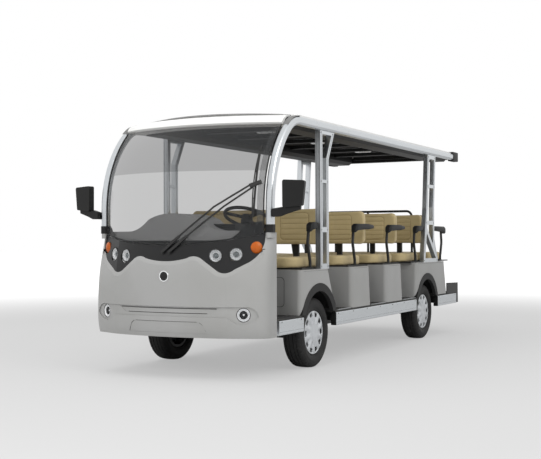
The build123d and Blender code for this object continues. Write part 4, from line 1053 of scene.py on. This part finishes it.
def fit_cover(name, spot):
    """Cover whose cells each run from a window's wall to the cell's border, round a turned hub."""
    shape = bmesh.new()
    inner, outer, half_turn = 0.0880, 0.1715, pi / WINDOWS

    def place(radius, angle, drop=0.0):
        return spot @ on_circle(radius, angle, cover_height(radius, angle) - drop)

    # four sides of a cell as radius and angle at both ends, steps, and the window's share in degrees
    sides = [
        (outer, -half_turn, outer, half_turn, 10, -52, 52),
        (outer, half_turn, inner, half_turn, 9, 52, 128),
        (inner, half_turn, inner, -half_turn, 8, 128, 232),
        (inner, -half_turn, outer, -half_turn, 9, 232, 308),
    ]
    border, hole = [], []
    for r0, t0, r1, t1, count, f0, f1 in sides:
        for i in range(count):
            share = i / count
            border.append((r0 + (r1 - r0) * share, t0 + (t1 - t0) * share))
            f = radians(f0 + (f1 - f0) * share)
            out = (abs(cos(f) / 0.0180) ** 2.5 + abs(sin(f) / 0.0245) ** 2.5) ** -0.4
            u, v = WINDOW_RADIUS + out * cos(f), out * sin(f)
            hole.append((hypot(u, v), atan2(v, u)))
    for k in range(WINDOWS):
        turn = 2 * pi * k / WINDOWS
        rows = [[place(r, turn + t, 0.011) for r, t in hole]]
        for level in (0.0, 0.06, 0.16, 0.34, 0.6, 1.0):
            drop = 0.0012 * max(0.0, 1 - level / 0.12)
            rows.append([
                place(r0 + (r1 - r0) * level, turn + t0 + (t1 - t0) * level, drop)
                for (r0, t0), (r1, t1) in zip(hole, border)
            ])
        strip(shape, rows, closed=True)
    angles = [2 * pi * i / 100 for i in range(100)]
    edge = [[place(outer, angle) for angle in angles]]
    for radius, height in ((0.1740, 0.0705), (0.1758, 0.0690), (0.1758, 0.0630)):
        edge.append([spot @ on_circle(radius, angle, height) for angle in angles])
    strip(shape, edge, closed=True)
    angles = [(i - 4) * 2 * pi / (8 * WINDOWS) for i in range(8 * WINDOWS)]
    hub = []
    for radius in (inner, 0.0800, 0.0740, 0.0715, 0.0680, 0.0560, 0.0400, 0.0200):
        hub.append([place(radius, angle, 0.0010 if radius < 0.0725 else 0.0) for angle in angles])
    grid = strip(shape, hub, closed=True)
    shape.faces.new(grid[-1])
    bmesh.ops.remove_doubles(shape, verts=shape.verts, dist=0.00002)
    make_piece("cover_" + name, shape, "wheel_silver", "wheel_" + name, crease=50)


def fit_cover_dimples(name, spot):
    """Five small recesses with raised rings round the middle of a cover; each recess is a flat dark disc of
    painted shade.
    """
    dimples, rings = new_shapes(2)
    axes = spot.to_3x3()
    for i in range(5):
        there = spot_at(spot @ on_circle(0.0430, 2 * pi * i / 5 + 0.3, 0.0762), axes @ UP, axes @ BACK)
        turned(rings, [(0.0095, 0.0000), (0.0090, 0.0008), (0.0078, 0.0002), (0.0074, 0.0000)], there, 20)
        turned(dimples, [(0, 0.0002), (0.0072, 0.0002)], there, 20)
    make_piece("cover_rings_" + name, rings, "wheel_silver", "wheel_" + name)
    make_piece("cover_dimples_" + name, dimples, "dimple", "wheel_" + name)


# Glass, wiper and mirrors


class BUS_OT_glazing(bpy.types.Operator):
    """Rubber seals, black screen print and the wiper on the windshield, and the mirror glasses."""

    bl_idname = "bus.glazing"
    bl_label = "Trim the glass"

    def execute(self, context):
        pane = tree_of("windshield")
        seals, band, side_band = new_shapes(3)
        foot, top = 1.095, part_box("windshield")[1].z - 0.012
        levels = [foot + (top - foot) * i / 30 for i in range(31)]
        for hand in HANDS:
            rim = [on_glass(pane, hand * 0.7135, z, 0.0) for z in levels]
            swept(seals, rim, [(x, y * 0.8) for x, y in circle(0.0062, 8)], ACROSS * hand)
            inner = [(0.6720 - 0.02 * smooth_step(1.15, 0.06, 2.3 - z), z) for z in levels]
            strip(side_band, [
                [on_glass(pane, hand * 0.7100, z, -0.0076) for z in levels],
                [on_glass(pane, hand * x, z, -0.0076) for x, z in inner],
            ])
        mask = [(x, mask_top(x)) for x in (0.708 * (-1 + 2 * i / 60) for i in range(61))]
        strip(band, [
            [on_glass(pane, x, z + 0.004, -0.0078) for x, z in mask],
            [on_glass(pane, x, z + 0.012 + corner_height(x), -0.0078) for x, z in mask],
        ])
        strip(seals, [[on_glass(pane, x, z + lift, 0.0004) for x, z in mask] for lift in (0.0060, 0.0100)])
        make_piece("glass_seals", seals, "seal")
        make_piece("glass_print", band, "print")
        make_piece("glass_side_print", side_band, "side_print")
        fit_wiper(pane)
        fit_mirrors()
        return {"FINISHED"}


def corner_height(x):
    """Height of the black corners of the print, the driver's one wider."""
    if x > 0:
        return 0.090 * smooth_step(0.565, 0.075, x)
    return 0.066 * smooth_step(0.620, 0.030, -x)


def mask_top(x):
    """Upper edge of the lamp mask."""
    return 1.003 + 0.085 * (x / 0.728) ** 2


def on_glass(pane, x, z, proud):
    """Point in front of the glass at a place across and up."""
    hit, normal, _, _ = pane.ray_cast(Vector((x, -3.0, z)), BACK)
    return hit + normal * (-proud if normal.y > 0 else proud)


def hug(pane, start, end, steps, proud):
    """Line between two points that keeps clear of the glass."""
    points = [start.lerp(end, i / steps) for i in range(steps + 1)]
    for point in points:
        hit = from_front(pane, point.x, point.z)
        if hit is not None:
            point.y = min(point.y, hit.y - proud)
    return points


def fit_wiper(pane):
    """Two arms that meet at a bracket, and a blade on its holder."""
    arms, blade, pins = new_shapes(3)
    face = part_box("wiper")[0].y
    bar, heel = round_box(0.0065, 0.0042, 0.002, 2), round_box(0.0105, 0.0065, 0.003, 2)
    for foot, turn_x, knee_x, knee_z in ((-0.023, 0.387, 0.628, 1.452), (0.037, 0.452, 0.640, 1.432)):
        turned(
            pins, [(0.0135, 0.010), (0.0135, -0.004), (0.0115, -0.0085), (0, -0.0095)],
            spot_at((foot, face + 0.012, 0.947), BACK), 20,
        )
        start, turn = Vector((foot, face - 0.006, 0.952)), on_glass(pane, turn_x, 1.287, 0.026)
        first = hug(pane, start, turn, 14, 0.018)
        second = hug(pane, turn, on_glass(pane, knee_x, knee_z, 0.026), 10, 0.020)
        swept(arms, first[:6], heel, -BACK)
        swept(arms, first[5:] + second[1:], bar, -BACK)
    knee, side = on_glass(pane, 0.650, 1.452, 0.028), on_glass(pane, 0.690, 1.470, 0.028)
    swept(arms, [knee - (side - knee) * 0.8, side], round_box(0.016, 0.007, 0.003, 2), -BACK)
    for x, z in ((0.628, 1.452), (0.640, 1.432), (0.664, 1.458)):
        bolt(pins, on_glass(pane, x, z, 0.030), -BACK, 0.006)
    top, foot = Vector((0.645, 1.752)), Vector((0.642, 1.148))
    spine, rubber = [], []
    for i in range(25):
        x, z = top.lerp(foot, i / 24)
        bow = 1 - (2 * i / 24 - 1) ** 2
        spine.append(on_glass(pane, x + 0.012 * bow, z, 0.0135 + 0.009 * bow))
        rubber.append(on_glass(pane, x, z, 0.0062))
    lip = [(-0.0045, 0.004), (0.0045, 0.004), (0.0012, -0.0045), (-0.0012, -0.0045)]
    swept(blade, spine[3:22], round_box(0.0075, 0.004, 0.0018, 2), -BACK)
    swept(blade, rubber, lip, -BACK)
    for i in (3, 8, 16, 21):
        swept(blade, [rubber[i], spine[i]], round_box(0.009, 0.004, 0.0015, 2))
    make_piece("wiper_arms", arms, "bar_black")
    make_piece("wiper_blade", blade, "bar_black")
    make_piece("wiper_pins", pins, "bar_black", stands_for=("wiper",), crease=45)


def fit_mirrors():
    """Silvered glasses in their frames behind, and the shells of the arms ahead."""
    glass, frames, shell = new_shapes(3)
    sweep = radians(12.5)
    pane = rounded([(-0.070, 1.300), (0.057, 1.313), (0.073, 1.464), (-0.071, 1.470)], 0.014)
    arm = rounded([
        (-0.168, 1.215), (-0.168, 1.273), (-0.095, 1.284), (0.052, 1.306), (0.050, 1.266), (-0.050, 1.236),
        (-0.105, 1.215),
    ], 0.008)
    middle = centre_of(pane)
    for hand in HANDS:
        out = Vector((hand * cos(sweep), sin(sweep), 0))
        back = Vector((-hand * sin(sweep), cos(sweep), 0))
        place = Vector((hand * 0.948, at(-0.812), 0))
        spot = frame_of(place, out, UP, back)
        plate(glass, pane, spot, 0.0014)
        strip(frames, [
            [spot @ Vector((*(middle + (point - middle) * grow), height)) for point in pane]
            for grow, height in ((1.00, 0.0008), (1.02, 0.0035), (1.09, 0.0035), (1.12, 0.0004))
        ], closed=True)
        plate(shell, arm, frame_of(place - back * 0.0008, out, UP, -back), 0.0346, 0.003)
    make_piece("mirror_arm_shells", shell, "black_matte")
    make_piece("mirror_glass", glass, "mirror")
    make_piece("mirror_frames", frames, "black_matte")


# Body, pillars, floor and rear


# ends of the sills from the front axle
SILLS = ((-0.731, -0.300), (0.336, 2.382), (3.078, 3.744))
FLOOR_TOP, HATCH_Z = 0.4472, 0.628
# station of a box's front face at its foot and head, width of a hatch, middles of the hatches
HATCHES = ((-0.343, -0.339, 0.56, (-0.34, 0.34)), (0.691, 0.691, 0.50, (0.0,)))
# (station, height) at both ends of each groove in the sides of the pillars
PILLAR_LINES = [
    ((0.066, 0.806), (0.066, 1.940)), ((0.189, 0.806), (0.189, 1.712)), ((0.189, 1.712), (0.305, 1.935)),
    ((2.6725, 0.900), (2.762, 1.372)), ((2.762, 1.372), (2.814, 1.938)), ((2.973, 1.060), (2.973, 1.392)),
    ((2.973, 1.392), (3.027, 1.938)), ((2.974, 1.052), (3.078, 0.850)),
]
PILLAR_BOLTS = [
    (0.062, 0.824), (0.193, 0.824), (0.066, 1.1255), (0.189, 1.1255), (0.066, 1.5245), (0.189, 1.5245),
    (0.066, 1.928), (0.300, 1.928), (2.672, 0.822), (3.082, 0.822), (2.745, 1.220), (2.973, 1.220),
    (2.790, 1.6085), (2.996, 1.6085), (2.816, 1.920), (3.028, 1.920),
]


class BUS_OT_trim(bpy.types.Operator):
    """Bolts, caps, grooves, hatches, floor strips and the chequered step."""

    bl_idname = "bus.trim"
    bl_label = "Fit the trim"

    def execute(self, context):
        fit_arch_liners()
        fit_sills()
        fit_pillars()
        fit_boxes()
        fit_floor()
        fit_rear()
        fit_bumper()
        fit_ceiling()
        fit_roof_ends()
        fit_cab()
        return {"FINISHED"}


def fit_arch_liners():
    """Felt inside the wheel arches, in runs that end where an arch jumps."""
    liners = bmesh.new()
    arches = tree_of("wheel_houses")
    for name in WHEELS:
        low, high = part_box("tyre_" + name)
        centre = (low + high) / 2
        hand = 1 if centre.x > 0 else -1
        runs = [[]]
        for i in range(61):
            lean = radians(-14 + 208 * i / 60)
            way = Vector((0, cos(lean), sin(lean)))
            row = []
            for x in (0.600, 0.640, 0.680, 0.720, 0.752):
                hit, _, _, far = arches.ray_cast(Vector((hand * x, centre.y, centre.z)), way)
                row.append(hit - way * 0.0012 if hit is not None and far > 0.31 else None)
            if None in row:
                runs.append([])
                continue
            if runs[-1] and max((a - b).length for a, b in zip(row, runs[-1][-1])) > 0.04:
                runs.append([])
            runs[-1].append(row)
        for rows in runs:
            if len(rows) > 1:
                strip(liners, rows)
    make_piece("arch_liners", liners, "liner", crease=50)


def fit_sills():
    """End caps, the groove along each sill and its screws."""
    caps, grooves, screws = new_shapes(3)
    for start, end in SILLS:
        count = max(2, int((end - start) / 0.34) + 1)
        for hand in HANDS:
            x = hand * 0.775
            for y, way in ((start, -1), (end, 1)):
                if -0.7 < y < 3.7:
                    spot = spot_at((hand * 0.750, at(y), 0.3755), (0, way, 0))
                    plate(caps, round_box(0.0245, 0.0545, 0.008, 3), spot, 0.004, 0.0015)
            block(grooves, (x, at(start) + 0.002, 0.3444), (x + hand * 0.0004, at(end) - 0.002, 0.3456))
            for i in range(count):
                y = start + 0.045 + (end - start - 0.09) * i / (count - 1)
                bolt(screws, (x, at(y), 0.4190), (hand, 0, 0), 0.0042)
    make_piece("sill_caps", caps, "black_matte")
    make_piece("sill_grooves", grooves, "gap_shade")
    make_piece("sill_screws", screws, "zinc")


def fit_pillars():
    """Grooves and bolts of the ladder pillars."""
    grooves, bolts = new_shapes(2)
    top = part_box("b_pillars")[1].z
    for hand in HANDS:
        for (y0, z0), (y1, z1) in PILLAR_LINES:
            a, b = Vector((0, at(y0), z0)), Vector((0, at(y1), z1))
            ahead = (b - a).normalized()
            side = Vector((0, -ahead.z, ahead.y)) * 0.0016
            outline = (a - side, a + side, b + side, b - side)
            for x, way in ((0.765, hand), (0.719, -hand)):
                strip(grooves, [
                    [point + ACROSS * (hand * x + depth) for point in outline]
                    for depth in (0.0, way * 0.0004)
                ], closed=True, capped=True)
        # two grooves down the leading face of the front post
        for shift in (-0.0145, 0.0145):
            x = hand * 0.742 + shift
            block(grooves, (x - 0.0013, at(0.044) - 0.0004, 0.810), (x + 0.0013, at(0.044), top - 0.02))
        for y, z in PILLAR_BOLTS:
            bolt(bolts, (hand * 0.765, at(y), z), (hand, 0, 0), 0.0048)
    make_piece("pillar_grooves", grooves, "gap_shade")
    make_piece("pillar_bolts", bolts, "zinc")


def fit_boxes():
    """Hatches with round pulls in the fronts of two seat boxes, and a joint line on all four."""
    gaps, pulls = new_shapes(2)
    for foot_y, head_y, width, centres in HATCHES:
        outline = round_box(width / 2, 0.115, 0.03, 4)
        for centre in centres:
            rows = []
            for grow, lift in ((1.0, 0.0002), (1.0, 0.0011), (1.012, 0.0011), (1.012, 0.0002)):
                rows.append([
                    Vector((
                        centre + x * grow,
                        at(foot_y + (head_y - foot_y) * (HATCH_Z + z - 0.447) / 0.356) - lift,
                        HATCH_Z + z * (1 + (grow - 1) * 2.4),
                    ))
                    for x, z in outline
                ])
            strip(gaps, rows, closed=True)
            turned(
                pulls, [(0.030, 0.0), (0.029, 0.0022), (0.0255, 0.0026), (0.0225, 0.0012), (0, 0.0008)],
                spot_at((centre, at(min(foot_y, head_y)) - 0.0002, 0.705), -BACK), 28,
            )
    for number in range(1, 5):
        low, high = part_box(f"seat_box_{number}")
        for hand in HANDS:
            block(gaps, (hand * 0.775, low.y + 0.045, 0.7911), (hand * 0.7754, high.y - 0.10, 0.7929))
    make_piece("hatch_gaps", gaps, "gap_shade")
    make_piece("hatch_pulls", pulls, "black_matte")


def fit_floor():
    """Ribs of the matting, and the entry edges with their screws."""
    ribs, edges, screws = new_shapes(3)
    top = FLOOR_TOP
    for start, end in ((-0.90, -0.36), (0.385, 0.672), (1.152, 1.520), (1.998, 2.375)):
        cab = start < -0.5
        wide = 0.66 if cab else 0.735
        count = int(2 * wide / 0.03)
        for i in range(count + 1):
            x = -wide + 2 * wide * i / count
            block(ribs, (x - 0.004, at(start + 0.012), top), (x + 0.004, at(end - 0.012), top + 0.0022))
        if cab:
            continue
        for hand in HANDS:
            block(edges, (hand * 0.742, at(start), top), (hand * 0.7695, at(end), top + 0.003), 0.0008)
            for k in range(3):
                y = start + 0.04 + (end - start - 0.08) * k / 2
                bolt(screws, (hand * 0.756, at(y), top + 0.003), UP, 0.003)
    make_piece("floor_ribs", ribs, "deck_mat")
    make_piece("floor_edges", edges, "alu")
    make_piece("floor_screws", screws, "zinc")


def diamond(shape, spot, number, half, depth, bevel):
    """Raised lozenge of chequer plate, turned by the number's parity."""
    way = Matrix.Rotation(radians(45 if number % 2 else -45), 4, "Z")
    tip = half - 0.005
    points = [(-half, 0), (-tip, 0.0035), (tip, 0.0035), (half, 0), (tip, -0.0035), (-tip, -0.0035)]
    plate(shape, points, spot @ way, depth, bevel)


def fit_rear():
    """Chequered step and kick plates, and the bezels and screws of the tail lamps."""
    tread, kick, bezels, screws = new_shapes(4)
    start, end, back = at(3.425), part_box("rear_step")[1].y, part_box("tail_lamps")[1].y
    rows, columns = 10, 40
    for r in range(rows):
        for c in range(columns):
            x = -0.735 + 1.47 * (c + 0.5) / columns
            y = start + (end - 0.03 - start) * (r + 0.5) / rows
            diamond(tread, Matrix.Translation((x, y, FLOOR_TOP)), r + c, 0.013, 0.0018, 0.0008)
    outline = round_box(0.077, 0.032, 0.013, 4)
    levels = ((1.04, -0.0116), (1.04, -0.002), (1.0, 0.0), (0.965, -0.002), (0.965, -0.0116))
    for hand in HANDS:
        for r in range(3):
            for c in range(12):
                place = (hand * 0.7636, start + 0.030 * c, 0.462 + 0.028 * r)
                diamond(kick, spot_at(place, (-hand, 0, 0)), r + c, 0.012, 0.0015, 0.0006)
        spot = spot_at((hand * 0.620, back - 0.0004, 0.385), BACK)
        strip(bezels, [
            [spot @ Vector((*(point * grow), height)) for point in outline] for grow, height in levels
        ], closed=True)
        for shift in (-0.092, 0.092):
            bolt(screws, (hand * 0.620 + shift, end + 0.0002, 0.385), BACK, 0.004)
    make_piece("step_tread", tread, "chassis_paint")
    make_piece("step_kick_diamonds", kick, "zinc")
    make_piece("tail_lamp_bezels", bezels, "chrome")
    make_piece("step_screws", screws, "zinc")


def trace(cowl, shape, points, width, proud):
    """Flat line laid on the cowl's face, left out where it would run off the face."""
    rows = [[], []]
    points = [Vector(point) for point in points]
    for i, point in enumerate(points):
        ahead = (points[min(i + 1, len(points) - 1)] - points[max(i - 1, 0)]).normalized()
        side = Vector((-ahead.y, ahead.x)) * width / 2
        for row, spot in zip(rows, (point + side, point - side)):
            hit = from_front(cowl, *spot)
            if hit is None:
                return
            row.append(hit - BACK * proud)
    strip(shape, rows)


def fit_bumper():
    """Painted shade laid on the cowl: dark strips under the ledge, the dark slit of the slot and a dark line
    round the plate recess.
    """
    cowl = tree_of("front_cowl")
    fit_cheeks(cowl)
    strips, slits, lines = new_shapes(3)
    corner = ((0.3445, 0.352), (0.3385, 0.367), (0.3110, 0.418), (0.2900, 0.4300))
    for hand in HANDS:
        trace(cowl, lines, [(hand * x, z) for x, z in corner], 0.003, 0.0006)
    # the strips rows are painted shade under the ledge; the lines rows are painted shade at the edge of the
    # plate recess
    # shape, first x, step, number of points, height, width and how proud
    for shape, first, step, count, z, width, proud in (
        (strips, -0.424, 0.0212, 41, 0.5335, 0.0080, 0.0006),
        (strips, -0.600, 0.0200, 61, 0.5422, 0.0052, 0.0006),
        (slits, -0.352, 0.0160, 45, 0.4975, 0.0042, 0.0008),
        (lines, -0.272, 0.0160, 35, 0.4340, 0.0030, 0.0006),
    ):
        trace(cowl, shape, [(first + step * i, z) for i in range(count)], width, proud)
    make_piece("bumper_ledge_painted_shade", strips, "ledge_shade")
    # black slit on the slot floor, in the seal rubber's finish: painted shade of the slot
    make_piece("bumper_slit_painted_shade", slits, "seal")
    make_piece("plate_recess_line", lines, "gap_shade")


def fit_cheeks(cowl):
    """Cowl skin beside each turn lamp, where the mask's opening reaches past the mask."""
    cheeks = bmesh.new()
    for hand in HANDS:
        rows = []
        for x in (0.7310, 0.7355, 0.7400, 0.7450, 0.7510):
            low, high = (from_front(cowl, hand * x, z) for z in (0.940, 0.980))
            if low is not None and high is not None:
                rows.append([low.lerp(high, share) - BACK * 0.0006 for share in (0, 0.25, 0.5, 0.75, 1)])
        if len(rows) > 1:
            strip(cheeks, rows)
            slope = hand * (rows[1][0] - rows[0][0]) / (rows[1][0].x - rows[0][0].x)
            inner = rows[0][:4]
            strip(cheeks, [[point + slope * reach for point in inner] for reach in (-0.0130, -0.0065, 0.0)])
    make_piece("mask_cheeks", cheeks, "frp_grey")


def fit_ceiling():
    """Dark lining in the bays between the roof beams, the trim of the first slab, and dome lamps."""
    roof = tree_of("roof_panel")
    lining, trim, lamps = new_shapes(3)
    beams = [(-0.376, -0.376)] + [(-0.328 + 0.5743 * i, -0.272 + 0.5743 * i) for i in range(8)]
    across = [0.456 * (-1 + i / 10) for i in range(21)]
    for (_, start), (end, _) in zip(beams, beams[1:]):
        strip(lining, [[under_roof(roof, x, at(y)) for x in across] for y in (start + 0.014, end - 0.004)])
    stations = [at(-0.35 + 4.0 * i / 20) for i in range(21)]
    for hand in HANDS:
        strip(lining, [[Vector((hand * x, y, 2.0125)) for y in stations] for x in (0.7025, 0.7185)])
    edge = []
    for i in range(49):
        x = 0.619 * (-1 + i / 24)
        y = at(-0.540 + 1.074 - sqrt(1.074 ** 2 - x ** 2))
        hit = onto_roof(roof, x, y + 0.004)
        edge.append(Vector((x, y - 0.0035, (hit.z if hit else 2.035) + 0.0042)))
    swept(trim, edge, round_box(0.0038, 0.0040, 0.0018, 2))
    for y in (0.56, 1.71, 2.86):
        plate(lamps, round_box(0.09, 0.032, 0.012, 3), spot_at((0, at(y), 2.0205), -UP, BACK), 0.016, 0.005)
    nose = []
    for i in range(57):
        x = 0.70 * (-1 + i / 28)
        hits = (onto_roof(roof, x, at(-0.56 + 0.004 * k)) for k in range(70))
        lip = next((hit for hit in hits if hit is not None), None)
        if lip is not None:
            levels = [lip.z - drop for drop in (0.0012, 0.0060, 0.0105)]
            nose.append([from_front(roof, x, z) - BACK * 0.0007 for z in levels])
    strip(trim, nose)
    make_piece("headliner", lining, "liner")
    make_piece("roof_slab_trim", trim, "edge_grey")
    make_piece("dome_lamps", lamps, "lamp_chrome")


def onto_roof(roof, x, y):
    return roof.ray_cast(Vector((x, y, 2.2)), -UP)[0]


def under_roof(roof, x, y):
    """Point just below the underside of the roof panel."""
    hit = roof.ray_cast(Vector((x, y, 1.95)), UP)[0]
    return Vector((x, y, (hit.z if hit else 2.02) - 0.0025))


def fit_roof_ends():
    """Lips over the bends of the hoops and the sleeves at the rear ends of the rails."""
    hoops = tree_of("roof_hoops")
    lips, sleeves = new_shapes(2)
    lip = ((0.7225, 0.0), (0.7265, 0.8), (0.735, 1.0), (0.765, 1.0), (0.7735, 0.8), (0.7775, 0.0))
    for hand in HANDS:
        rows = []
        start = Vector((hand * 0.75, at(-0.345), 1.86))
        for i in range(25):
            lean = radians(18 + 74 * i / 24)
            way = Vector((0, -cos(lean), sin(lean)))
            hit = hoops.ray_cast(start + way * 0.6, -way)[0]
            if hit is not None:
                swell = 0.0055 * sin(pi * i / 24) ** 0.5
                rows.append([
                    Vector((hand * x, hit.y, hit.z)) + way * (proud * swell + 0.0004) for x, proud in lip
                ])
        strip(lips, rows)
        block(sleeves, (hand * 0.7165, at(3.640), 1.9320), (hand * 0.7835, at(3.8242), 2.0365), 0.011)
    make_piece("hoop_lips", lips, "edge_grey")
    make_piece("rail_sleeves", sleeves, "black_matte", crease=50)


def fit_cab():
    """Instrument pod, column shroud with its stalks, and pedals."""
    pod, dials, shroud, stalks, pedals, pads = new_shapes(6)
    block(pod, (0.215, at(-0.885), 1.045), (0.485, at(-0.715), 1.165), 0.022)
    for x in (0.30, 0.40):
        turned(
            dials, [(0.038, 0.0), (0.038, 0.003), (0.035, 0.004), (0.033, 0.0018), (0, 0.0015)],
            spot_at((x, at(-0.715), 1.118), BACK), 28,
        )
    down = Vector((0, -0.476, -0.88)).normalized()
    top = Vector((0.35, at(-0.446), 1.183))
    swept(
        shroud, [top + down * t for t in (0.055, 0.065, 0.15, 0.235, 0.245)],
        round_box(0.040, 0.034, 0.012, 3), Vector((0, -1, 0.2)),
        scales=[(0.85, 0.85), (1, 1), (1.05, 1.1), (0.9, 0.95), (0.75, 0.8)],
    )
    for hand in HANDS:
        root = top + down * 0.10 + ACROSS * hand * 0.036
        tip = root + Vector((hand * 0.105, 0.012, 0.012))
        swept(stalks, [root, root.lerp(tip, 0.6), tip], circle(0.0055, 10))
        swept(
            stalks, [root.lerp(tip, share) for share in (0.75, 0.8, 1.05, 1.1)], circle(0.0085, 12),
            scales=[(0.7, 0.7), (1, 1), (1, 1), (0.6, 0.6)],
        )
    for x in (0.285, 0.425):
        spot = spot_at((x, at(-0.865), 0.520), (0, 0.80, 0.60))
        plate(pads, round_box(0.030, 0.042, 0.008, 3), spot, 0.010, 0.002)
        for i in range(5):
            rib = spot @ Vector((0, -0.028 + 0.014 * i, 0.0112))
            swept(pads, [rib - ACROSS * 0.024, rib + ACROSS * 0.024], circle(0.0018, 6))
        arm = [spot.translation, (x, at(-0.905), 0.535), (x, at(-0.930), 0.640)]
        swept(pedals, arm, circle(0.007, 10), ACROSS)
    make_piece("instrument_pod", pod, "black_matte")
    make_piece("instrument_dials", dials, "black_gloss")
    make_piece("column_shroud", shroud, "black_matte")
    make_piece("column_stalks", stalks, "black_matte")
    make_piece("pedal_arms", pedals, "chassis_paint")
    make_piece("pedal_pads", pads, "seal")


# Stage


def aim(turn, tilt, bank):
    """Camera axes from its heading, tilt and bank in degrees."""
    turn, tilt, bank = radians(turn), radians(tilt), radians(bank)
    ahead = Vector((-sin(turn) * cos(tilt), cos(turn) * cos(tilt), sin(tilt)))
    side = Vector((cos(turn), sin(turn), 0))
    top = side.cross(ahead)
    return frame_of((0, 0, 0), side * cos(bank) + top * sin(bank), top * cos(bank) - side * sin(bank), -ahead)


def soft_box(name, place, target, size, power, mirrored=False):
    """Square studio lamp that faces a point."""
    lamp = bpy.data.lights.new(name, "AREA")
    lamp.shape = "RECTANGLE"
    lamp.size, lamp.size_y = size
    lamp.energy = power
    holder = bpy.data.objects.new(name, lamp)
    bpy.context.scene.collection.objects.link(holder)
    holder.location = place
    holder.visible_glossy = mirrored
    holder.rotation_euler = (Vector(target) - Vector(place)).to_track_quat("-Z", "Y").to_euler()


def make_floor(lift):
    """Wide pale floor that runs into the white surround."""
    reach = 60.0
    mesh = bpy.data.meshes.new("studio_floor")
    corners = [(-reach, -reach, 0), (reach, -reach, 0), (reach, reach, 0), (-reach, reach, 0)]
    mesh.from_pydata(corners, [], [(0, 1, 2, 3)])
    floor = bpy.data.objects.new("studio_floor", mesh)
    bpy.context.scene.collection.objects.link(floor)
    # Matt studio paint; what the lamps leave short of white is added for the camera only, and it
    # grows with the distance from the vehicle.
    paint = Finish("matt_studio_floor", "#C4C4C4", Roughness=0.95, Specular_IOR_Level=0.0)
    away = paint.node("VectorMath", {0: paint.place}, operation="LENGTH").outputs["Value"]
    rise = paint.node(
        "MapRange", {"Value": away, "From Min": 4.5, "From Max": 14.0, "To Min": lift, "To Max": 1.0},
        interpolation_type="SMOOTHSTEP",
    )
    seen = paint.node("LightPath").outputs["Is Camera Ray"]
    paint.shader.inputs["Emission Color"].default_value = (1, 1, 1, 1)
    shown = paint.node("Mix", {0: seen, 6: paint.colour, 7: linear("#858585")}, data_type="RGBA")
    paint.drive("Base Color", shown, 2)
    paint.drive("Emission Strength", paint.node("Math", {0: seen, 1: rise.outputs[0]}, operation="MULTIPLY"))
    mesh.materials.append(paint.material)


def make_surround(sky, shine):
    """White world, dimmer as a light than in view, in glass and in gloss."""
    world = bpy.data.worlds.new("studio_white")
    bpy.context.scene.world = world
    world.use_nodes = True
    tree = world.node_tree
    tree.nodes.clear()
    rays = add_node(tree, "LightPath").outputs
    plain = add_node(
        tree, "Math", {0: rays["Is Camera Ray"], 1: rays["Is Transmission Ray"]}, operation="MAXIMUM")
    gloss = add_node(tree, "MapRange", {"Value": rays["Is Glossy Ray"], "To Min": sky, "To Max": shine})
    strength = add_node(
        tree, "MapRange", {"Value": plain.outputs[0], "To Min": gloss.outputs[0], "To Max": 1.0})
    back = add_node(tree, "Background", {"Color": (1, 1, 1, 1), "Strength": strength.outputs[0]})
    add_node(tree, "OutputWorld", {"Surface": back.outputs[0]})


class BUS_OT_stage(bpy.types.Operator):
    """Pale floor, white surround, soft boxes and the camera."""

    bl_idname = "bus.stage"
    bl_label = "Set the stage"

    def execute(self, context):
        scene = context.scene
        sizes = scene.bus_stage
        scene.view_settings.view_transform = "Standard"
        make_floor(sizes.floor)
        make_surround(sizes.sky, sizes.shine)
        soft_box("key_box", (6.5, -3.5, 6.0), (0, 0, 0.8), (4.0, 4.0), sizes.key, mirrored=True)
        soft_box("top_box", (-1.8, -1.2, 8.5), (0, 0, 0), (7.0, 7.0), sizes.top)
        soft_box("front_box", (0.9, -9.0, 4.0), (0, -1.8, 0.9), (4.0, 3.0), sizes.fill)
        lens = bpy.data.cameras.new("camera")
        lens.sensor_width = 36.0
        lens.lens = sizes.focal
        lens.clip_end = 200
        camera = bpy.data.objects.new("camera", lens)
        scene.collection.objects.link(camera)
        camera.matrix_world = Matrix.Translation((4.2223, -8.8962, 1.0379)) @ aim(27.3069, 0.6178, -0.2074)
        scene.camera = camera
        return {"FINISHED"}


STEPS = (
    BUS_OT_finishes, BUS_OT_seats, BUS_OT_armrests, BUS_OT_lamps, BUS_OT_wheels, BUS_OT_glazing, BUS_OT_trim,
    BUS_OT_stage,
)


class BUS_PT_panel(bpy.types.Panel):
    """Lists the steps in the sidebar."""

    bl_idname = "BUS_PT_panel"
    bl_label = "Shuttle bus"
    bl_space_type = "VIEW_3D"
    bl_region_type = "UI"
    bl_category = "Shuttle bus"

    def draw(self, context):
        for step in STEPS:
            self.layout.operator(step.bl_idname)


def register():
    for _, group in GROUPS:
        bpy.utils.register_class(group)
    for step in STEPS:
        bpy.utils.register_class(step)
    bpy.utils.register_class(BUS_PT_panel)
    for name, group in GROUPS:
        setattr(bpy.types.Scene, name, bpy.props.PointerProperty(type=group))


def unregister():
    for name, _ in GROUPS:
        delattr(bpy.types.Scene, name)
    bpy.utils.unregister_class(BUS_PT_panel)
    for step in reversed(STEPS):
        bpy.utils.unregister_class(step)
    for _, group in reversed(GROUPS):
        bpy.utils.unregister_class(group)


def main():
    """Dress the frame, step by step."""
    register()
    for step in STEPS:
        family, name = step.bl_idname.split(".")
        getattr(getattr(bpy.ops, family), name)()


if __name__ == "__main__":
    main()
